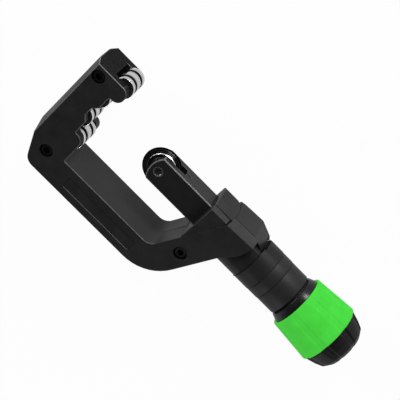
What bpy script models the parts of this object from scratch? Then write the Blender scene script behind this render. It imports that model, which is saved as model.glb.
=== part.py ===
"""Tube cutter for metal and plastic tube, lying on its side.

The tool frame has X along the feed screw, from the rollers to the grip, Y towards the open side
of the throat and Z through the thickness. The feed screw's axis is y = 0, z = 0, and x = 0 is
the line of the two outer rollers. Every length is in metres.
"""

import math

import bmesh
import bpy
from mathutils import Matrix, Vector

# Clearance between pieces that touch on the real tool
GAP = 0.0003
FACET = math.radians(35)

# C-frame
FRAME_SIDE_WALL = 0.0024
FRAME_BACK_X = -0.025
ARM_END_Y = 0.0293
ARM_INNER_X = 0.0058
SPINE_OUTER_Y = -0.0579
SPINE_INNER_Y = -0.0381
HEEL_CUT_Y = -0.0315
HEEL_CUT_X = -0.0128
HEEL_RADIUS = 0.008
BELLY_X = 0.0985
BELLY_RADIUS = 0.0325
FRAME_REAR_LOW = (0.1214, -0.0092)
FRAME_REAR_MID = (0.1301, 0.0040)
FRAME_REAR_TOP_X = 0.1329
LIP_FRONT_X = 0.1096
UPPER_LIP_FRONT_Y = 0.0133
UPPER_LIP_REAR_Y = 0.0142
LOWER_LIP_FRONT_Y = 0.0146
LOWER_LIP_REAR_Y = 0.0156
LOWER_LIP_FLAT_END_X = 0.1290
LOWER_LIP_POINT = (0.1420, 0.0096)
LIP_UNDERSIDE_Y = 0.0117
LIP_INNER_Z = 0.0083
BRIDGE_FRONT_X = 0.1115
BRIDGE_FRONT_Y = 0.0150
BRIDGE_CREST = (0.1293, 0.0159)
BRIDGE_POINT = (0.1404, 0.0112)
BRIDGE_SIDE_INSET = 0.0004
BRIDGE_BEVEL = 0.0008
JAW_FOOT_X = 0.0847
JAW_FOOT_RADIUS = 0.009
EDGE_BREAK = 0.0007
BACK_CHAMFER_DEPTH = 0.0031
BACK_FLAT_HALF = 0.0095

# Cheeks that hold the rollers
CHEEK_NOSE_X = 0.0054
CHEEK_NOSE_LOW_Y = 0.0173
CHEEK_NOSE_RADIUS = 0.0056
CHEEK_EDGE_X = -0.0022
CHEEK_NOTCH_X = -0.0056
CHEEK_NOTCH_MOUTH = 0.0070
CHEEK_NOTCH_FLOOR = 0.0030
BAY_HALF_WIDTH = 0.0126
BAY_BACK_X = -0.0102
BAY_DEEP_X = -0.0146
BAY_DEEP_HALF_Y = 0.0175
BAY_LOW_Y = -0.0336

# Rollers and their pins
OUTER_ROLLER = (-0.0004, 0.0253)
INNER_ROLLER = (-0.0066, 0.0090)
OUTER_ROLLER_RADIUS = 0.0073
INNER_ROLLER_RADIUS = 0.0069
ROLLER_GROOVE_Z = 0.0055
ROLLER_GROOVE_HALF = 0.0012
ROLLER_GROOVE_DEPTH = 0.0021
ROLLER_CHAMFER = 0.0005
ROLLER_PIN_RADIUS = 0.0025
ROLLER_PIN_SEAT = 0.0032
RUNNING_FIT = 0.0003

# Frame screws: socket heads sunk in the upper half
FRAME_SCREWS = ((-0.0165, 0.0221), (-0.0074, -0.0425), (0.1027, -0.0263))
SCREW_HEAD_RADIUS = 0.0042
SCREW_HEAD_HEIGHT = 0.0050
SCREW_HEAD_SUNK = 0.0022
SCREW_SHANK_RADIUS = 0.0025
SCREW_TIP_COVER = 0.0055
SCREW_SOCKET_RADIUS = 0.0023
SCREW_SOCKET_DEPTH = 0.0026
COUNTERBORE_RADIUS = 0.0049

# Guide housing
HOUSING_FRONT_X = 0.0946
HOUSING_BELLY = 0.0002
WING_INSET = 0.0004
WING_LOW_Y = -0.0162
WING_GAP = 0.0004
SHOULDER_OUTER_Y = 0.0133
SHOULDER_INNER_Y = 0.0146
RIDGE_HALF = 0.0144
RIDGE_TOP_Y = 0.0154
BLOCK_END_X = 0.1180
BARREL_START_X = 0.1115
BARREL_REACH = 0.0100
BARREL_INSET = 0.00005
LIP_RECESS_LENGTH = 0.0065
SOCKET_DEPTH = 0.0098
SOCKET_WALL = 0.00155
HOUSING_BEVEL = 0.0008

# Handle sleeve and its end bush
SLEEVE_FRONT_INSET = 0.0002
SLEEVE_REAR_INSET = 0.0002
SLEEVE_FRONT_LENGTH = 0.0090
SLEEVE_REAR_LENGTH = 0.0145
SLEEVE_NECK_LENGTH = 0.0125
SLEEVE_WALL = 0.0014
SLEEVE_CHAMFER = 0.0006
BUSH_DEPTH = 0.0036
BUSH_FLANGE = 0.0017

# Slide bar and cutting wheel
BAR_HALF = 0.0097
BAR_NOSE_X = 0.0475
BAR_NOSE_RADIUS = 0.0155
BAR_TAIL_X = 0.1520
BAR_BEVEL = 0.0008
BAR_FIT = 0.0003
BAR_CORNER_FIT = 0.000282
WHEEL_X = 0.0540
WHEEL_RADIUS = 0.0138
WHEEL_EDGE_HALF = 0.00015
WHEEL_WEB_RADIUS = 0.0096
WHEEL_WEB_HALF = 0.0016
WHEEL_HUB_RADIUS = 0.0070
WHEEL_HUB_HALF = 0.0035
WHEEL_SLOT_HALF = 0.0040
WHEEL_SLOT_END_X = 0.0683
SLIT_HALF = 0.0009
SLIT_END_X = 0.0728
WHEEL_BUSH_WALL = 0.0011
WHEEL_PIN_RADIUS = 0.0030
WHEEL_PIN_SUNK = 0.0005
PIN_GROOVE_RADIUS = 0.0022
PIN_GROOVE_WIDTH = 0.0010
CLIP_POCKET_RADIUS = 0.0052
CLIP_POCKET_DEPTH = 0.0018
CLIP_OUTER_RADIUS = 0.0046
CLIP_MOUTH = 0.0032

# Feed screw, nut and knob
SCREW_TIP_X = 0.0970
SCREW_FLANGE_REACH = 0.0025
SCREW_FLANGE_WIDTH = 0.0022
JOURNAL_STEP = 0.0010
STUD_STEP = 0.0010
STUD_LENGTH = 0.0085
NUT_POCKET_WALL = 0.0014
NUT_WALL = 0.0020
NUT_LENGTH = 0.0147
SET_SCREW_RADIUS = 0.0015
SET_SCREW_BITE = 0.0006
WASHER_THICKNESS = 0.0010
FRONT_WASHER_RADIUS = 0.0100
REAR_WASHER_RADIUS = 0.0130
COLLAR_RUNNING_GAP = 0.0015
COLLAR_LENGTH = 0.0048
COLLAR_WALL = 0.0015
COLLAR_FLARE = 0.0019
CORE_LENGTH = 0.0315
HUB_RECESS_DEPTH = 0.0073
HUB_RECESS_RADIUS = 0.0120
DRIVE_PIN_RADIUS = 0.0020
GRIP_FRONT_WALL = 0.0019
GRIP_REAR_WALL = 0.0046
GRIP_ROUND = 0.0008
GRIP_OVERHANG = 0.0003
LOBES = 8
LOBE_PHASE = math.radians(25.5)
FLUTE_HALF_ANGLE = math.radians(7)
GRIP_FLUTE_DEPTH = 0.0007
# How far the cap lies inside the grip's rear radius, at each distance behind its seat
CAP_PROFILE = ((0.0011, 0.0), (0.0020, 0.0026), (0.0037, 0.0071), (0.0059, 0.0116), (0.0103, 0.0144))
CAP_FACE_RADIUS = 0.0100
CAP_HEIGHT = 0.0151
CAP_FLUTE_DEPTH = 0.0016
CAP_SPIGOT_WALL = 0.0027
CAP_SPIGOT_LENGTH = 0.0044
CAP_HOLLOW_DEPTH = 0.0051
KNOB_NUT_FLATS = 0.0130
KNOB_NUT_HEIGHT = 0.0050
KNOB_WASHER_RADIUS = 0.0080

# From the bar outwards: its round way, the sleeve, the barrel, the guide block and the frame
SLEEVE_BORE_RADIUS = BAR_HALF * math.sqrt(2) + BAR_CORNER_FIT
SLEEVE_NECK_RADIUS = SLEEVE_BORE_RADIUS + SLEEVE_WALL
SOCKET_RADIUS = SLEEVE_NECK_RADIUS + GAP
BARREL_RADIUS = SOCKET_RADIUS + SOCKET_WALL
SLEEVE_FRONT_RADIUS = BARREL_RADIUS - SLEEVE_FRONT_INSET
SLEEVE_REAR_RADIUS = SLEEVE_FRONT_RADIUS - SLEEVE_REAR_INSET
HOUSING_HALF_WIDTH = BARREL_RADIUS + BARREL_INSET
HOUSING_BOTTOM_Y = -(HOUSING_HALF_WIDTH + HOUSING_BELLY)
POCKET_HALF_WIDTH = HOUSING_HALF_WIDTH + GAP
FRAME_HALF_THICKNESS = POCKET_HALF_WIDTH + FRAME_SIDE_WALL
WING_HALF_WIDTH = FRAME_HALF_THICKNESS - WING_INSET
SCREW_TIP_Z = SCREW_TIP_COVER - FRAME_HALF_THICKNESS

# From the bar inwards: the nut, the feed screw, its journal and stud
NUT_RADIUS = BAR_HALF - NUT_POCKET_WALL - GAP
SCREW_RADIUS = NUT_RADIUS - NUT_WALL
SCREW_FLANGE_RADIUS = SCREW_RADIUS + SCREW_FLANGE_REACH
JOURNAL_RADIUS = SCREW_RADIUS - JOURNAL_STEP
STUD_RADIUS = JOURNAL_RADIUS - STUD_STEP

# From the frame's lips rearwards: the barrel, the sleeve, the knob and its cap
LIP_RECESS_END_X = FRAME_REAR_TOP_X + LIP_RECESS_LENGTH
BARREL_END_X = LOWER_LIP_POINT[0] + BARREL_REACH
SOCKET_START_X = BARREL_END_X - SOCKET_DEPTH
SLEEVE_STEP_X = BARREL_END_X + SLEEVE_FRONT_LENGTH
SLEEVE_SHOULDER_X = SLEEVE_STEP_X + SLEEVE_REAR_LENGTH
SLEEVE_END_X = SLEEVE_SHOULDER_X + SLEEVE_NECK_LENGTH
COLLAR_FRONT_X = SLEEVE_SHOULDER_X + COLLAR_RUNNING_GAP
COLLAR_REAR_X = COLLAR_FRONT_X + COLLAR_LENGTH
CORE_REAR_X = COLLAR_REAR_X + CORE_LENGTH
GRIP_REAR_X = CORE_REAR_X + GRIP_OVERHANG
CAP_SEAT_X = GRIP_REAR_X + GAP
CAP_END_X = CAP_SEAT_X + CAP_HEIGHT
CAP_HOLLOW_END_X = CAP_SEAT_X + CAP_HOLLOW_DEPTH

# The knob's collar runs on the sleeve's neck, and the core and grip follow it
COLLAR_FRONT_RADIUS = SLEEVE_NECK_RADIUS + RUNNING_FIT + COLLAR_WALL
CORE_RADIUS = COLLAR_FRONT_RADIUS + COLLAR_FLARE
GRIP_FRONT_RADIUS = CORE_RADIUS + GRIP_FRONT_WALL
GRIP_REAR_RADIUS = CORE_RADIUS + GRIP_REAR_WALL

SCREW_BORE_RADIUS = SCREW_RADIUS + GAP
WASHER_BORE_RADIUS = JOURNAL_RADIUS + GAP
BUSH_FRONT_X = SLEEVE_END_X - BUSH_DEPTH
BUSH_REAR_X = SLEEVE_END_X + GAP + BUSH_FLANGE
FLANGE_REAR_X = BUSH_FRONT_X - 2 * GAP - WASHER_THICKNESS
HUB_FRONT_X = BUSH_REAR_X + 2 * GAP + WASHER_THICKNESS
HUB_REAR_X = CORE_REAR_X - HUB_RECESS_DEPTH
HUB_LENGTH = HUB_REAR_X - HUB_FRONT_X
NUT_FRONT_X = BAR_TAIL_X - NUT_LENGTH
SCREW_SEAT_Z = FRAME_HALF_THICKNESS - SCREW_HEAD_SUNK - SCREW_HEAD_HEIGHT


def clear_scene():
    for thing in list(bpy.data.objects):
        bpy.data.objects.remove(thing, do_unlink=True)


def make_collection(name):
    collection = bpy.data.collections.new(name)
    bpy.context.scene.collection.children.link(collection)
    return collection


clear_scene()
PARTS = make_collection("tube_cutter")
CUTTERS = make_collection("cutters")


def make_material(name, colour, roughness, metallic):
    material = bpy.data.materials.new(name)
    material.use_nodes = True
    shader = material.node_tree.nodes["Principled BSDF"]
    shader.inputs["Base Color"].default_value = (*colour, 1.0)
    shader.inputs["Roughness"].default_value = roughness
    shader.inputs["Metallic"].default_value = metallic
    return material


def black_cast(name):
    return make_material(name, (0.015, 0.015, 0.016), 0.42, 0.0)


def plated_steel(name):
    return make_material(name, (0.78, 0.78, 0.80), 0.12, 1.0)


def dark_steel(name):
    return make_material(name, (0.05, 0.05, 0.055), 0.35, 1.0)


def bronze(name):
    return make_material(name, (0.60, 0.40, 0.18), 0.35, 1.0)


def black_plastic(name):
    return make_material(name, (0.02, 0.02, 0.02), 0.35, 0.0)


def green_plastic(name):
    return make_material(name, (0.07, 0.62, 0.06), 0.45, 0.0)


def make_empty(name, parent, location=(0, 0, 0)):
    empty = bpy.data.objects.new(name, None)
    empty.parent = parent
    empty.location = location
    PARTS.objects.link(empty)
    return empty


def add_mesh(name, mesh, parent=None, material=None, location=(0, 0, 0)):
    thing = bpy.data.objects.new(name, mesh)
    thing.parent = parent
    thing.location = location
    if material is None:
        CUTTERS.objects.link(thing)
        thing.hide_render = True
        thing.display_type = "WIRE"
    else:
        PARTS.objects.link(thing)
        mesh.materials.append(material(name))
    return thing


def smooth(mesh):
    mesh.shade_smooth()
    mesh.set_sharp_from_angle(angle=FACET)


def rounded(corners, steps=5):
    """Points of a closed outline whose corners (x, y, radius) are rounded by arcs."""
    points = []
    count = len(corners)
    for index, (x, y, radius) in enumerate(corners):
        here = Vector((x, y))
        before = (Vector(corners[index - 1][:2]) - here).normalized()
        after = (Vector(corners[(index + 1) % count][:2]) - here).normalized()
        if radius == 0:
            points.append(here)
            continue
        half = before.angle(after) / 2
        middle = here + (before + after).normalized() * radius / math.sin(half)
        start = here + before * radius / math.tan(half) - middle
        turn = start.angle_signed(here + after * radius / math.tan(half) - middle)
        for step in range(steps + 1):
            arm = start.copy()
            arm.rotate(Matrix.Rotation(-turn * step / steps, 2))
            points.append(middle + arm)
    return points


def plate_mesh(name, outline, low, high):
    """A flat outline in XY, filled and extruded from z = low to z = high, as a closed mesh."""
    curve = bpy.data.curves.new(name, "CURVE")
    curve.dimensions = "2D"
    curve.fill_mode = "BOTH"
    curve.extrude = (high - low) / 2
    spline = curve.splines.new("POLY")
    spline.points.add(len(outline) - 1)
    for point, spot in zip(spline.points, outline):
        point.co = (spot[0], spot[1], 0, 1)
    spline.use_cyclic_u = True
    holder = bpy.data.objects.new(name, curve)
    CUTTERS.objects.link(holder)
    mesh = bpy.data.meshes.new_from_object(holder.evaluated_get(bpy.context.evaluated_depsgraph_get()))
    bpy.data.objects.remove(holder, do_unlink=True)
    work = bmesh.new()
    work.from_mesh(mesh)
    bmesh.ops.remove_doubles(work, verts=work.verts, dist=1e-6)
    bmesh.ops.translate(work, verts=work.verts, vec=(0, 0, (high + low) / 2))
    bmesh.ops.recalc_face_normals(work, faces=work.faces)
    work.to_mesh(mesh)
    work.free()
    return mesh


def across_x(mesh):
    """Turn a plate so that its outline lies in Y and Z and its thickness along X."""
    mesh.transform(Matrix(((0, 0, 1, 0), (1, 0, 0, 0), (0, 1, 0, 0), (0, 0, 0, 1))))
    return mesh


def break_edges(mesh, width, wanted):
    """Bevel the edges whose two end points both satisfy wanted(point)."""
    work = bmesh.new()
    work.from_mesh(mesh)
    bmesh.ops.dissolve_limit(work, angle_limit=math.radians(1), verts=work.verts, edges=work.edges)
    edges = []
    for edge in work.edges:
        corner = edge.calc_face_angle(0) > FACET
        if corner and all(wanted(vert.co) for vert in edge.verts):
            edges.append(edge)
    bmesh.ops.bevel(work, geom=edges, offset=width, segments=1, affect="EDGES", clamp_overlap=True)
    bmesh.ops.triangulate(work, faces=work.faces)
    work.to_mesh(mesh)
    work.free()


def box_mesh(name, low, high):
    size = Vector(high) - Vector(low)
    middle = (Vector(high) + Vector(low)) / 2
    work = bmesh.new()
    bmesh.ops.create_cube(work, size=1, matrix=Matrix.Translation(middle) @ Matrix.Diagonal((*size, 1)))
    mesh = bpy.data.meshes.new(name)
    work.to_mesh(mesh)
    work.free()
    return mesh


def rod_mesh(name, radius, low, high, axis="Z", at=(0, 0, 0), sides=32):
    """A solid cylinder from low to high along one axis, through the point at."""
    turn = {"X": Matrix.Rotation(math.pi / 2, 4, "Y"), "Y": Matrix.Rotation(-math.pi / 2, 4, "X"), "Z": Matrix()}
    place = Matrix.Translation(at) @ turn[axis] @ Matrix.Translation((0, 0, (low + high) / 2))
    work = bmesh.new()
    bmesh.ops.create_cone(
        work, cap_ends=True, segments=sides, radius1=radius, radius2=radius, depth=high - low, matrix=place
    )
    mesh = bpy.data.meshes.new(name)
    work.to_mesh(mesh)
    work.free()
    return mesh


def turned(name, profile, parent, material, location=(0, 0, 0), axis="Z", sides=32, closed=True):
    """A turned piece: (radius, station) points down the outer side, then back up the bore."""
    mesh = bpy.data.meshes.new(name)
    work = bmesh.new()
    verts = [work.verts.new((radius, 0, station)) for radius, station in profile]
    for first, second in zip(verts, verts[1:]):
        work.edges.new((first, second))
    if closed:
        work.edges.new((verts[-1], verts[0]))
    work.to_mesh(mesh)
    work.free()
    thing = add_mesh(name, mesh, parent, material, location)
    if axis == "X":
        thing.rotation_euler = (0, math.pi / 2, 0)
    screw = thing.modifiers.new("turn", "SCREW")
    screw.axis = "Z"
    screw.steps = sides
    screw.render_steps = sides
    screw.use_merge_vertices = True
    screw.merge_threshold = 1e-6
    screw.use_smooth_shade = True
    return thing


def cut(thing, cutter_mesh, operation="DIFFERENCE"):
    cutter = add_mesh(f"{thing.name}_tool_{len(thing.modifiers)}", cutter_mesh, ROOT)
    step = thing.modifiers.new(cutter.name, "BOOLEAN")
    step.operation = operation
    step.solver = "EXACT"
    step.object = cutter
    return cutter


def lobe_depth(angle, depth):
    """How far the surface sinks at this angle: one flute between each two lobes."""
    pitch = 2 * math.pi / LOBES
    away = abs((angle - LOBE_PHASE) % pitch - pitch / 2)
    if away > FLUTE_HALF_ANGLE:
        return 0.0
    return depth * (1 + math.cos(math.pi * away / FLUTE_HALF_ANGLE)) / 2


def grip_angles():
    """Angles from +Z towards +Y: across each lobe and each flute."""
    pitch = 2 * math.pi / LOBES
    flute = [-1, 0, 1]
    lobe = [0.33, 0.67]
    angles = []
    for index in range(LOBES):
        valley = LOBE_PHASE + pitch * (index + 0.5)
        angles += [valley + share * FLUTE_HALF_ANGLE for share in flute]
        land = pitch - 2 * FLUTE_HALF_ANGLE
        angles += [valley + FLUTE_HALF_ANGLE + share * land for share in lobe]
    return angles


def lobed_mesh(name, rings, bore):
    """Rings (radius, station, flute depth) lofted along X, closed by a bore of (radius, station)."""
    angles = grip_angles()
    rows = [[(radius - lobe_depth(angle, depth), station, angle) for angle in angles] for radius, station, depth in rings]
    rows += [[(radius, station, angle) for angle in angles] for radius, station in bore]
    work = bmesh.new()
    loops = []
    for row in rows:
        loops.append([work.verts.new((x, r * math.sin(a), r * math.cos(a))) for r, x, a in row])
    for first, second in zip(loops, loops[1:] + loops[:1]):
        for index in range(len(angles)):
            after = (index + 1) % len(angles)
            work.faces.new((first[index], first[after], second[after], second[index]))
    bmesh.ops.recalc_face_normals(work, faces=work.faces)
    bmesh.ops.triangulate(work, faces=work.faces)
    mesh = bpy.data.meshes.new(name)
    work.to_mesh(mesh)
    work.free()
    smooth(mesh)
    return mesh


def lowest_grip_point():
    return max(-(GRIP_REAR_RADIUS - lobe_depth(a, GRIP_FLUTE_DEPTH)) * math.cos(a) for a in grip_angles())


# The model's origin is the middle of the bottom of its bounding box
ROOT = make_empty(
    "tube_cutter_root",
    None,
    (
        -(FRAME_BACK_X + CAP_END_X) / 2,
        -(SPINE_OUTER_Y + OUTER_ROLLER[1] + OUTER_ROLLER_RADIUS) / 2,
        lowest_grip_point(),
    ),
)


def lip_corners(side):
    """The rear of the outline: the lip of the upper half is lower and ends square."""
    if side > 0:
        return [(FRAME_REAR_TOP_X, UPPER_LIP_REAR_Y, 0.0010), (LIP_FRONT_X, UPPER_LIP_FRONT_Y, 0)]
    return [
        (*LOWER_LIP_POINT, 0.003),
        (LOWER_LIP_FLAT_END_X, LOWER_LIP_REAR_Y, 0.004),
        (LIP_FRONT_X, LOWER_LIP_FRONT_Y, 0),
    ]


def frame_outline(side):
    nose_x = CHEEK_NOSE_X
    nose_y = CHEEK_NOSE_LOW_Y
    return rounded(
        [
            (FRAME_BACK_X, ARM_END_Y, 0),
            (FRAME_BACK_X, HEEL_CUT_Y, 0.002),
            (HEEL_CUT_X, SPINE_OUTER_Y, HEEL_RADIUS),
            (BELLY_X, SPINE_OUTER_Y, BELLY_RADIUS),
            (*FRAME_REAR_LOW, 0.004),
            (*FRAME_REAR_MID, 0.010),
            *lip_corners(side),
            (JAW_FOOT_X, SPINE_INNER_Y, JAW_FOOT_RADIUS),
            (ARM_INNER_X, SPINE_INNER_Y, 0.001),
            (ARM_INNER_X, -nose_y - 2 * CHEEK_NOSE_RADIUS, 0),
            (nose_x, -nose_y, CHEEK_NOSE_RADIUS),
            (CHEEK_EDGE_X, -nose_y, 0.0012),
            (CHEEK_EDGE_X, -CHEEK_NOTCH_MOUTH, 0.001),
            (CHEEK_NOTCH_X, -CHEEK_NOTCH_FLOOR, 0.001),
            (CHEEK_NOTCH_X, CHEEK_NOTCH_FLOOR, 0.001),
            (CHEEK_EDGE_X, CHEEK_NOTCH_MOUTH, 0.001),
            (CHEEK_EDGE_X, nose_y, 0.0012),
            (nose_x, nose_y, CHEEK_NOSE_RADIUS),
            (nose_x, ARM_END_Y, CHEEK_NOSE_RADIUS),
        ]
    )


def roller_spots():
    """Name, x, y and radius of each roller, from the arm's end towards the spine."""
    return [
        ("outer_top", OUTER_ROLLER[0], OUTER_ROLLER[1], OUTER_ROLLER_RADIUS),
        ("inner_top", INNER_ROLLER[0], INNER_ROLLER[1], INNER_ROLLER_RADIUS),
        ("inner_low", INNER_ROLLER[0], -INNER_ROLLER[1], INNER_ROLLER_RADIUS),
        ("outer_low", OUTER_ROLLER[0], -OUTER_ROLLER[1], OUTER_ROLLER_RADIUS),
    ]


def bay_outline():
    """The open space between the cheeks, deeper behind the two inner rollers."""
    past = 0.010
    front = ARM_INNER_X + past
    top = ARM_END_Y + past
    deep = BAY_DEEP_HALF_Y
    return [
        (front, BAY_LOW_Y),
        (front, top),
        (BAY_BACK_X, top),
        (BAY_BACK_X, deep),
        (BAY_DEEP_X, deep),
        (BAY_DEEP_X, -deep),
        (BAY_BACK_X, -deep),
        (BAY_BACK_X, BAY_LOW_Y),
    ]


def pocket_outline(side):
    """Y and Z of the housing's pocket. In the upper half it opens out past the lip, for the bridge."""
    wall = POCKET_HALF_WIDTH
    low = HOUSING_BOTTOM_Y - GAP
    top = LIP_UNDERSIDE_Y
    if side < 0:
        return [(low, -wall), (top, -wall), (top, wall), (low, wall)]
    way = LIP_INNER_Z
    out = BRIDGE_CREST[1] + 0.010
    return [(low, -wall), (out, -wall), (out, way), (top, way), (top, wall), (low, wall)]


def bridge_mesh(name):
    """The lower half's bridge over the guide block, from its outer edge to the upper half's lip."""
    low = LIP_UNDERSIDE_Y - 0.002
    point_x, point_y = BRIDGE_POINT
    corners = [
        (BRIDGE_FRONT_X, low, 0),
        (point_x - 0.0024, low, 0),
        (point_x, point_y, 0.001),
        (*BRIDGE_CREST, 0.005),
        (BRIDGE_FRONT_X, BRIDGE_FRONT_Y, 0.0004),
    ]
    inner = LIP_INNER_Z - GAP
    mesh = plate_mesh(name, rounded(corners), BRIDGE_SIDE_INSET - FRAME_HALF_THICKNESS, inner)
    break_edges(mesh, BRIDGE_BEVEL, lambda p: p.z > inner - 1e-5)
    return mesh


def back_chamfer_mesh(name, side):
    """A wedge that takes the arm's back edge off, on the side of +Z or -Z."""
    past = 0.004
    rise = (FRAME_HALF_THICKNESS - BACK_FLAT_HALF) / BACK_CHAMFER_DEPTH
    outline = [
        (FRAME_BACK_X - past, side * (BACK_FLAT_HALF - past * rise)),
        (FRAME_BACK_X + BACK_CHAMFER_DEPTH + past, side * (FRAME_HALF_THICKNESS + past * rise)),
        (FRAME_BACK_X - past, side * (FRAME_HALF_THICKNESS + past * rise)),
    ]
    mesh = plate_mesh(name, outline, -(ARM_END_Y + past), -SPINE_OUTER_Y)
    mesh.transform(Matrix.Rotation(math.pi / 2, 4, "X"))
    return mesh


def make_frame_half(name, side):
    inner = GAP / 2
    low, high = (inner, FRAME_HALF_THICKNESS) if side > 0 else (-FRAME_HALF_THICKNESS, -inner)
    mesh = plate_mesh(name, frame_outline(side), low, high)
    break_edges(mesh, EDGE_BREAK, lambda p: abs(p.z) > FRAME_HALF_THICKNESS - 1e-5)
    half = add_mesh(name, mesh, ROOT, black_cast)
    cut(half, back_chamfer_mesh("chamfer", side))
    if side < 0:
        cut(half, bridge_mesh("bridge"), "UNION")
    past = 0.010
    cut(half, plate_mesh("bay", bay_outline(), -BAY_HALF_WIDTH, BAY_HALF_WIDTH))
    pin_bore = ROLLER_PIN_RADIUS + GAP
    pin_reach = BAY_HALF_WIDTH + ROLLER_PIN_SEAT + GAP
    for label, x, y, _ in roller_spots():
        cut(half, rod_mesh(f"{label}_seat", pin_bore, -pin_reach, pin_reach, at=(x, y, 0), sides=20))
    front = JAW_FOOT_X
    if side < 0:
        low = (front, LIP_UNDERSIDE_Y - 0.002, -LIP_INNER_Z)
        cut(half, box_mesh("ridge_way", low, (BRIDGE_FRONT_X - GAP / 2, BRIDGE_CREST[1] + past, past)))
    cut(half, across_x(plate_mesh("pocket", pocket_outline(side), front, LOWER_LIP_POINT[0] + past)))
    for x, y in FRAME_SCREWS:
        spot = (x, y, 0)
        shank = SCREW_SHANK_RADIUS + GAP
        cut(half, rod_mesh("screw_way", shank, SCREW_TIP_Z - GAP, SCREW_SEAT_Z, at=spot, sides=20))
        if side > 0:
            top = FRAME_HALF_THICKNESS + past
            cut(half, rod_mesh("counterbore", COUNTERBORE_RADIUS, SCREW_SEAT_Z, top, at=spot, sides=28))
    return half


def make_frame_screw(name, x, y):
    head = SCREW_HEAD_RADIUS
    low = SCREW_SEAT_Z + GAP
    top = low + SCREW_HEAD_HEIGHT
    floor = top - SCREW_SOCKET_DEPTH
    profile = [
        (SCREW_SOCKET_RADIUS, top),
        (head - 0.0004, top),
        (head, top - 0.0004),
        (head, low),
        (SCREW_SHANK_RADIUS, low),
        (SCREW_SHANK_RADIUS, SCREW_TIP_Z),
        (0, SCREW_TIP_Z),
    ]
    socket = [(0, floor), (SCREW_SOCKET_RADIUS, floor)]
    return turned(name, socket + profile, ROOT, dark_steel, (x, y, 0), sides=24, closed=False)


def make_roller(name, x, y, radius):
    """A roller with two grooves between its three lands, turning on its pin."""
    axis = make_empty(f"{name}_axis", ROOT, (x, y, 0))
    end = BAY_HALF_WIDTH - RUNNING_FIT
    bore = ROLLER_PIN_RADIUS + RUNNING_FIT
    floor = radius - ROLLER_GROOVE_DEPTH
    profile = [(radius - ROLLER_CHAMFER, end), (radius, end - ROLLER_CHAMFER)]
    for middle in (ROLLER_GROOVE_Z, -ROLLER_GROOVE_Z):
        profile += [
            (radius, middle + ROLLER_GROOVE_HALF),
            (floor, middle + ROLLER_GROOVE_HALF / 2),
            (floor, middle - ROLLER_GROOVE_HALF / 2),
            (radius, middle - ROLLER_GROOVE_HALF),
        ]
    profile += [(radius, ROLLER_CHAMFER - end), (radius - ROLLER_CHAMFER, -end), (bore, -end), (bore, end)]
    return turned(name, profile, axis, plated_steel, sides=22)


def make_roller_pin(name, x, y):
    reach = BAY_HALF_WIDTH + ROLLER_PIN_SEAT
    mesh = rod_mesh(name, ROLLER_PIN_RADIUS, -reach, reach, sides=20)
    smooth(mesh)
    return add_mesh(name, mesh, ROOT, dark_steel, (x, y, 0))


def housing_section():
    """Y and Z of the guide block: a wing on each side, sloping shoulders and a ridge."""
    low = HOUSING_BOTTOM_Y
    wide = HOUSING_HALF_WIDTH
    wing = WING_HALF_WIDTH
    ridge = RIDGE_HALF
    soft = HOUSING_BEVEL
    corners = [
        (low, -wide, soft),
        (WING_LOW_Y, -wing, soft),
        (SHOULDER_OUTER_Y, -wing, soft / 2),
        (SHOULDER_INNER_Y, -ridge, 0),
        (RIDGE_TOP_Y, -ridge, soft / 2),
        (RIDGE_TOP_Y, ridge, soft / 2),
        (SHOULDER_INNER_Y, ridge, 0),
        (SHOULDER_OUTER_Y, wing, soft / 2),
        (WING_LOW_Y, wing, soft),
        (low, wide, soft),
    ]
    return rounded(corners, 2)


def jaw_line_x(side, y):
    """Where one half's edge in front of the guide block lies at this height."""
    top = UPPER_LIP_FRONT_Y if side > 0 else LOWER_LIP_FRONT_Y
    return JAW_FOOT_X + (y - SPINE_INNER_Y) * (LIP_FRONT_X - JAW_FOOT_X) / (top - SPINE_INNER_Y)


def behind_jaw_mesh(name, side, gap, low, high, inner, end):
    """The room for one half: behind its jaw line, from z = inner outwards."""
    outer = FRAME_HALF_THICKNESS + 0.010
    outline = [
        (jaw_line_x(side, low) - gap, low),
        (end, low),
        (end, high),
        (jaw_line_x(side, high) - gap, high),
    ]
    return plate_mesh(name, outline, *sorted((side * inner, side * outer)))


def make_rooms_for_frame(housing):
    """Cut the wings off behind the jaw line, and make room for the lips and the bridge.

    The room for the upper lip runs on behind it, as an open recess in front of the barrel.
    """
    past = 0.010
    rib = LIP_INNER_Z - GAP
    low = LIP_UNDERSIDE_Y - GAP
    high = BRIDGE_CREST[1] + past
    bridge_end = BRIDGE_POINT[0] + GAP
    lip_end = {1: LIP_RECESS_END_X, -1: bridge_end}
    for side in (1, -1):
        foot = HOUSING_BOTTOM_Y - past
        top = LIP_UNDERSIDE_Y + GAP
        end = BLOCK_END_X + past
        cut(housing, behind_jaw_mesh("wing_trim", side, WING_GAP, foot, top, HOUSING_HALF_WIDTH, end))
        cut(housing, behind_jaw_mesh("lip_room", side, 2 * WING_GAP, low, high, rib, lip_end[side]))
    corner = (BRIDGE_FRONT_X - GAP, low, -rib - GAP)
    cut(housing, box_mesh("bridge_room", corner, (bridge_end, high + past, rib + GAP)))


def make_guide_housing(name):
    """The guide block at the front, the round barrel behind it, and the square way for the bar."""
    front = HOUSING_FRONT_X
    mesh = across_x(plate_mesh(name, housing_section(), front, BLOCK_END_X))
    housing = add_mesh(name, mesh, ROOT, black_cast)
    barrel = rod_mesh("barrel", BARREL_RADIUS, BARREL_START_X, BARREL_END_X, "X", sides=48)
    cut(housing, barrel, "UNION")
    make_rooms_for_frame(housing)
    past = 0.010
    bore = BAR_HALF + BAR_FIT
    cut(housing, box_mesh("bar_way", (front - past, -bore, -bore), (SOCKET_START_X + 0.001, bore, bore)))
    socket = rod_mesh("socket", SOCKET_RADIUS, SOCKET_START_X, BARREL_END_X + past, "X", sides=40)
    cut(housing, socket)
    return housing


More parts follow.
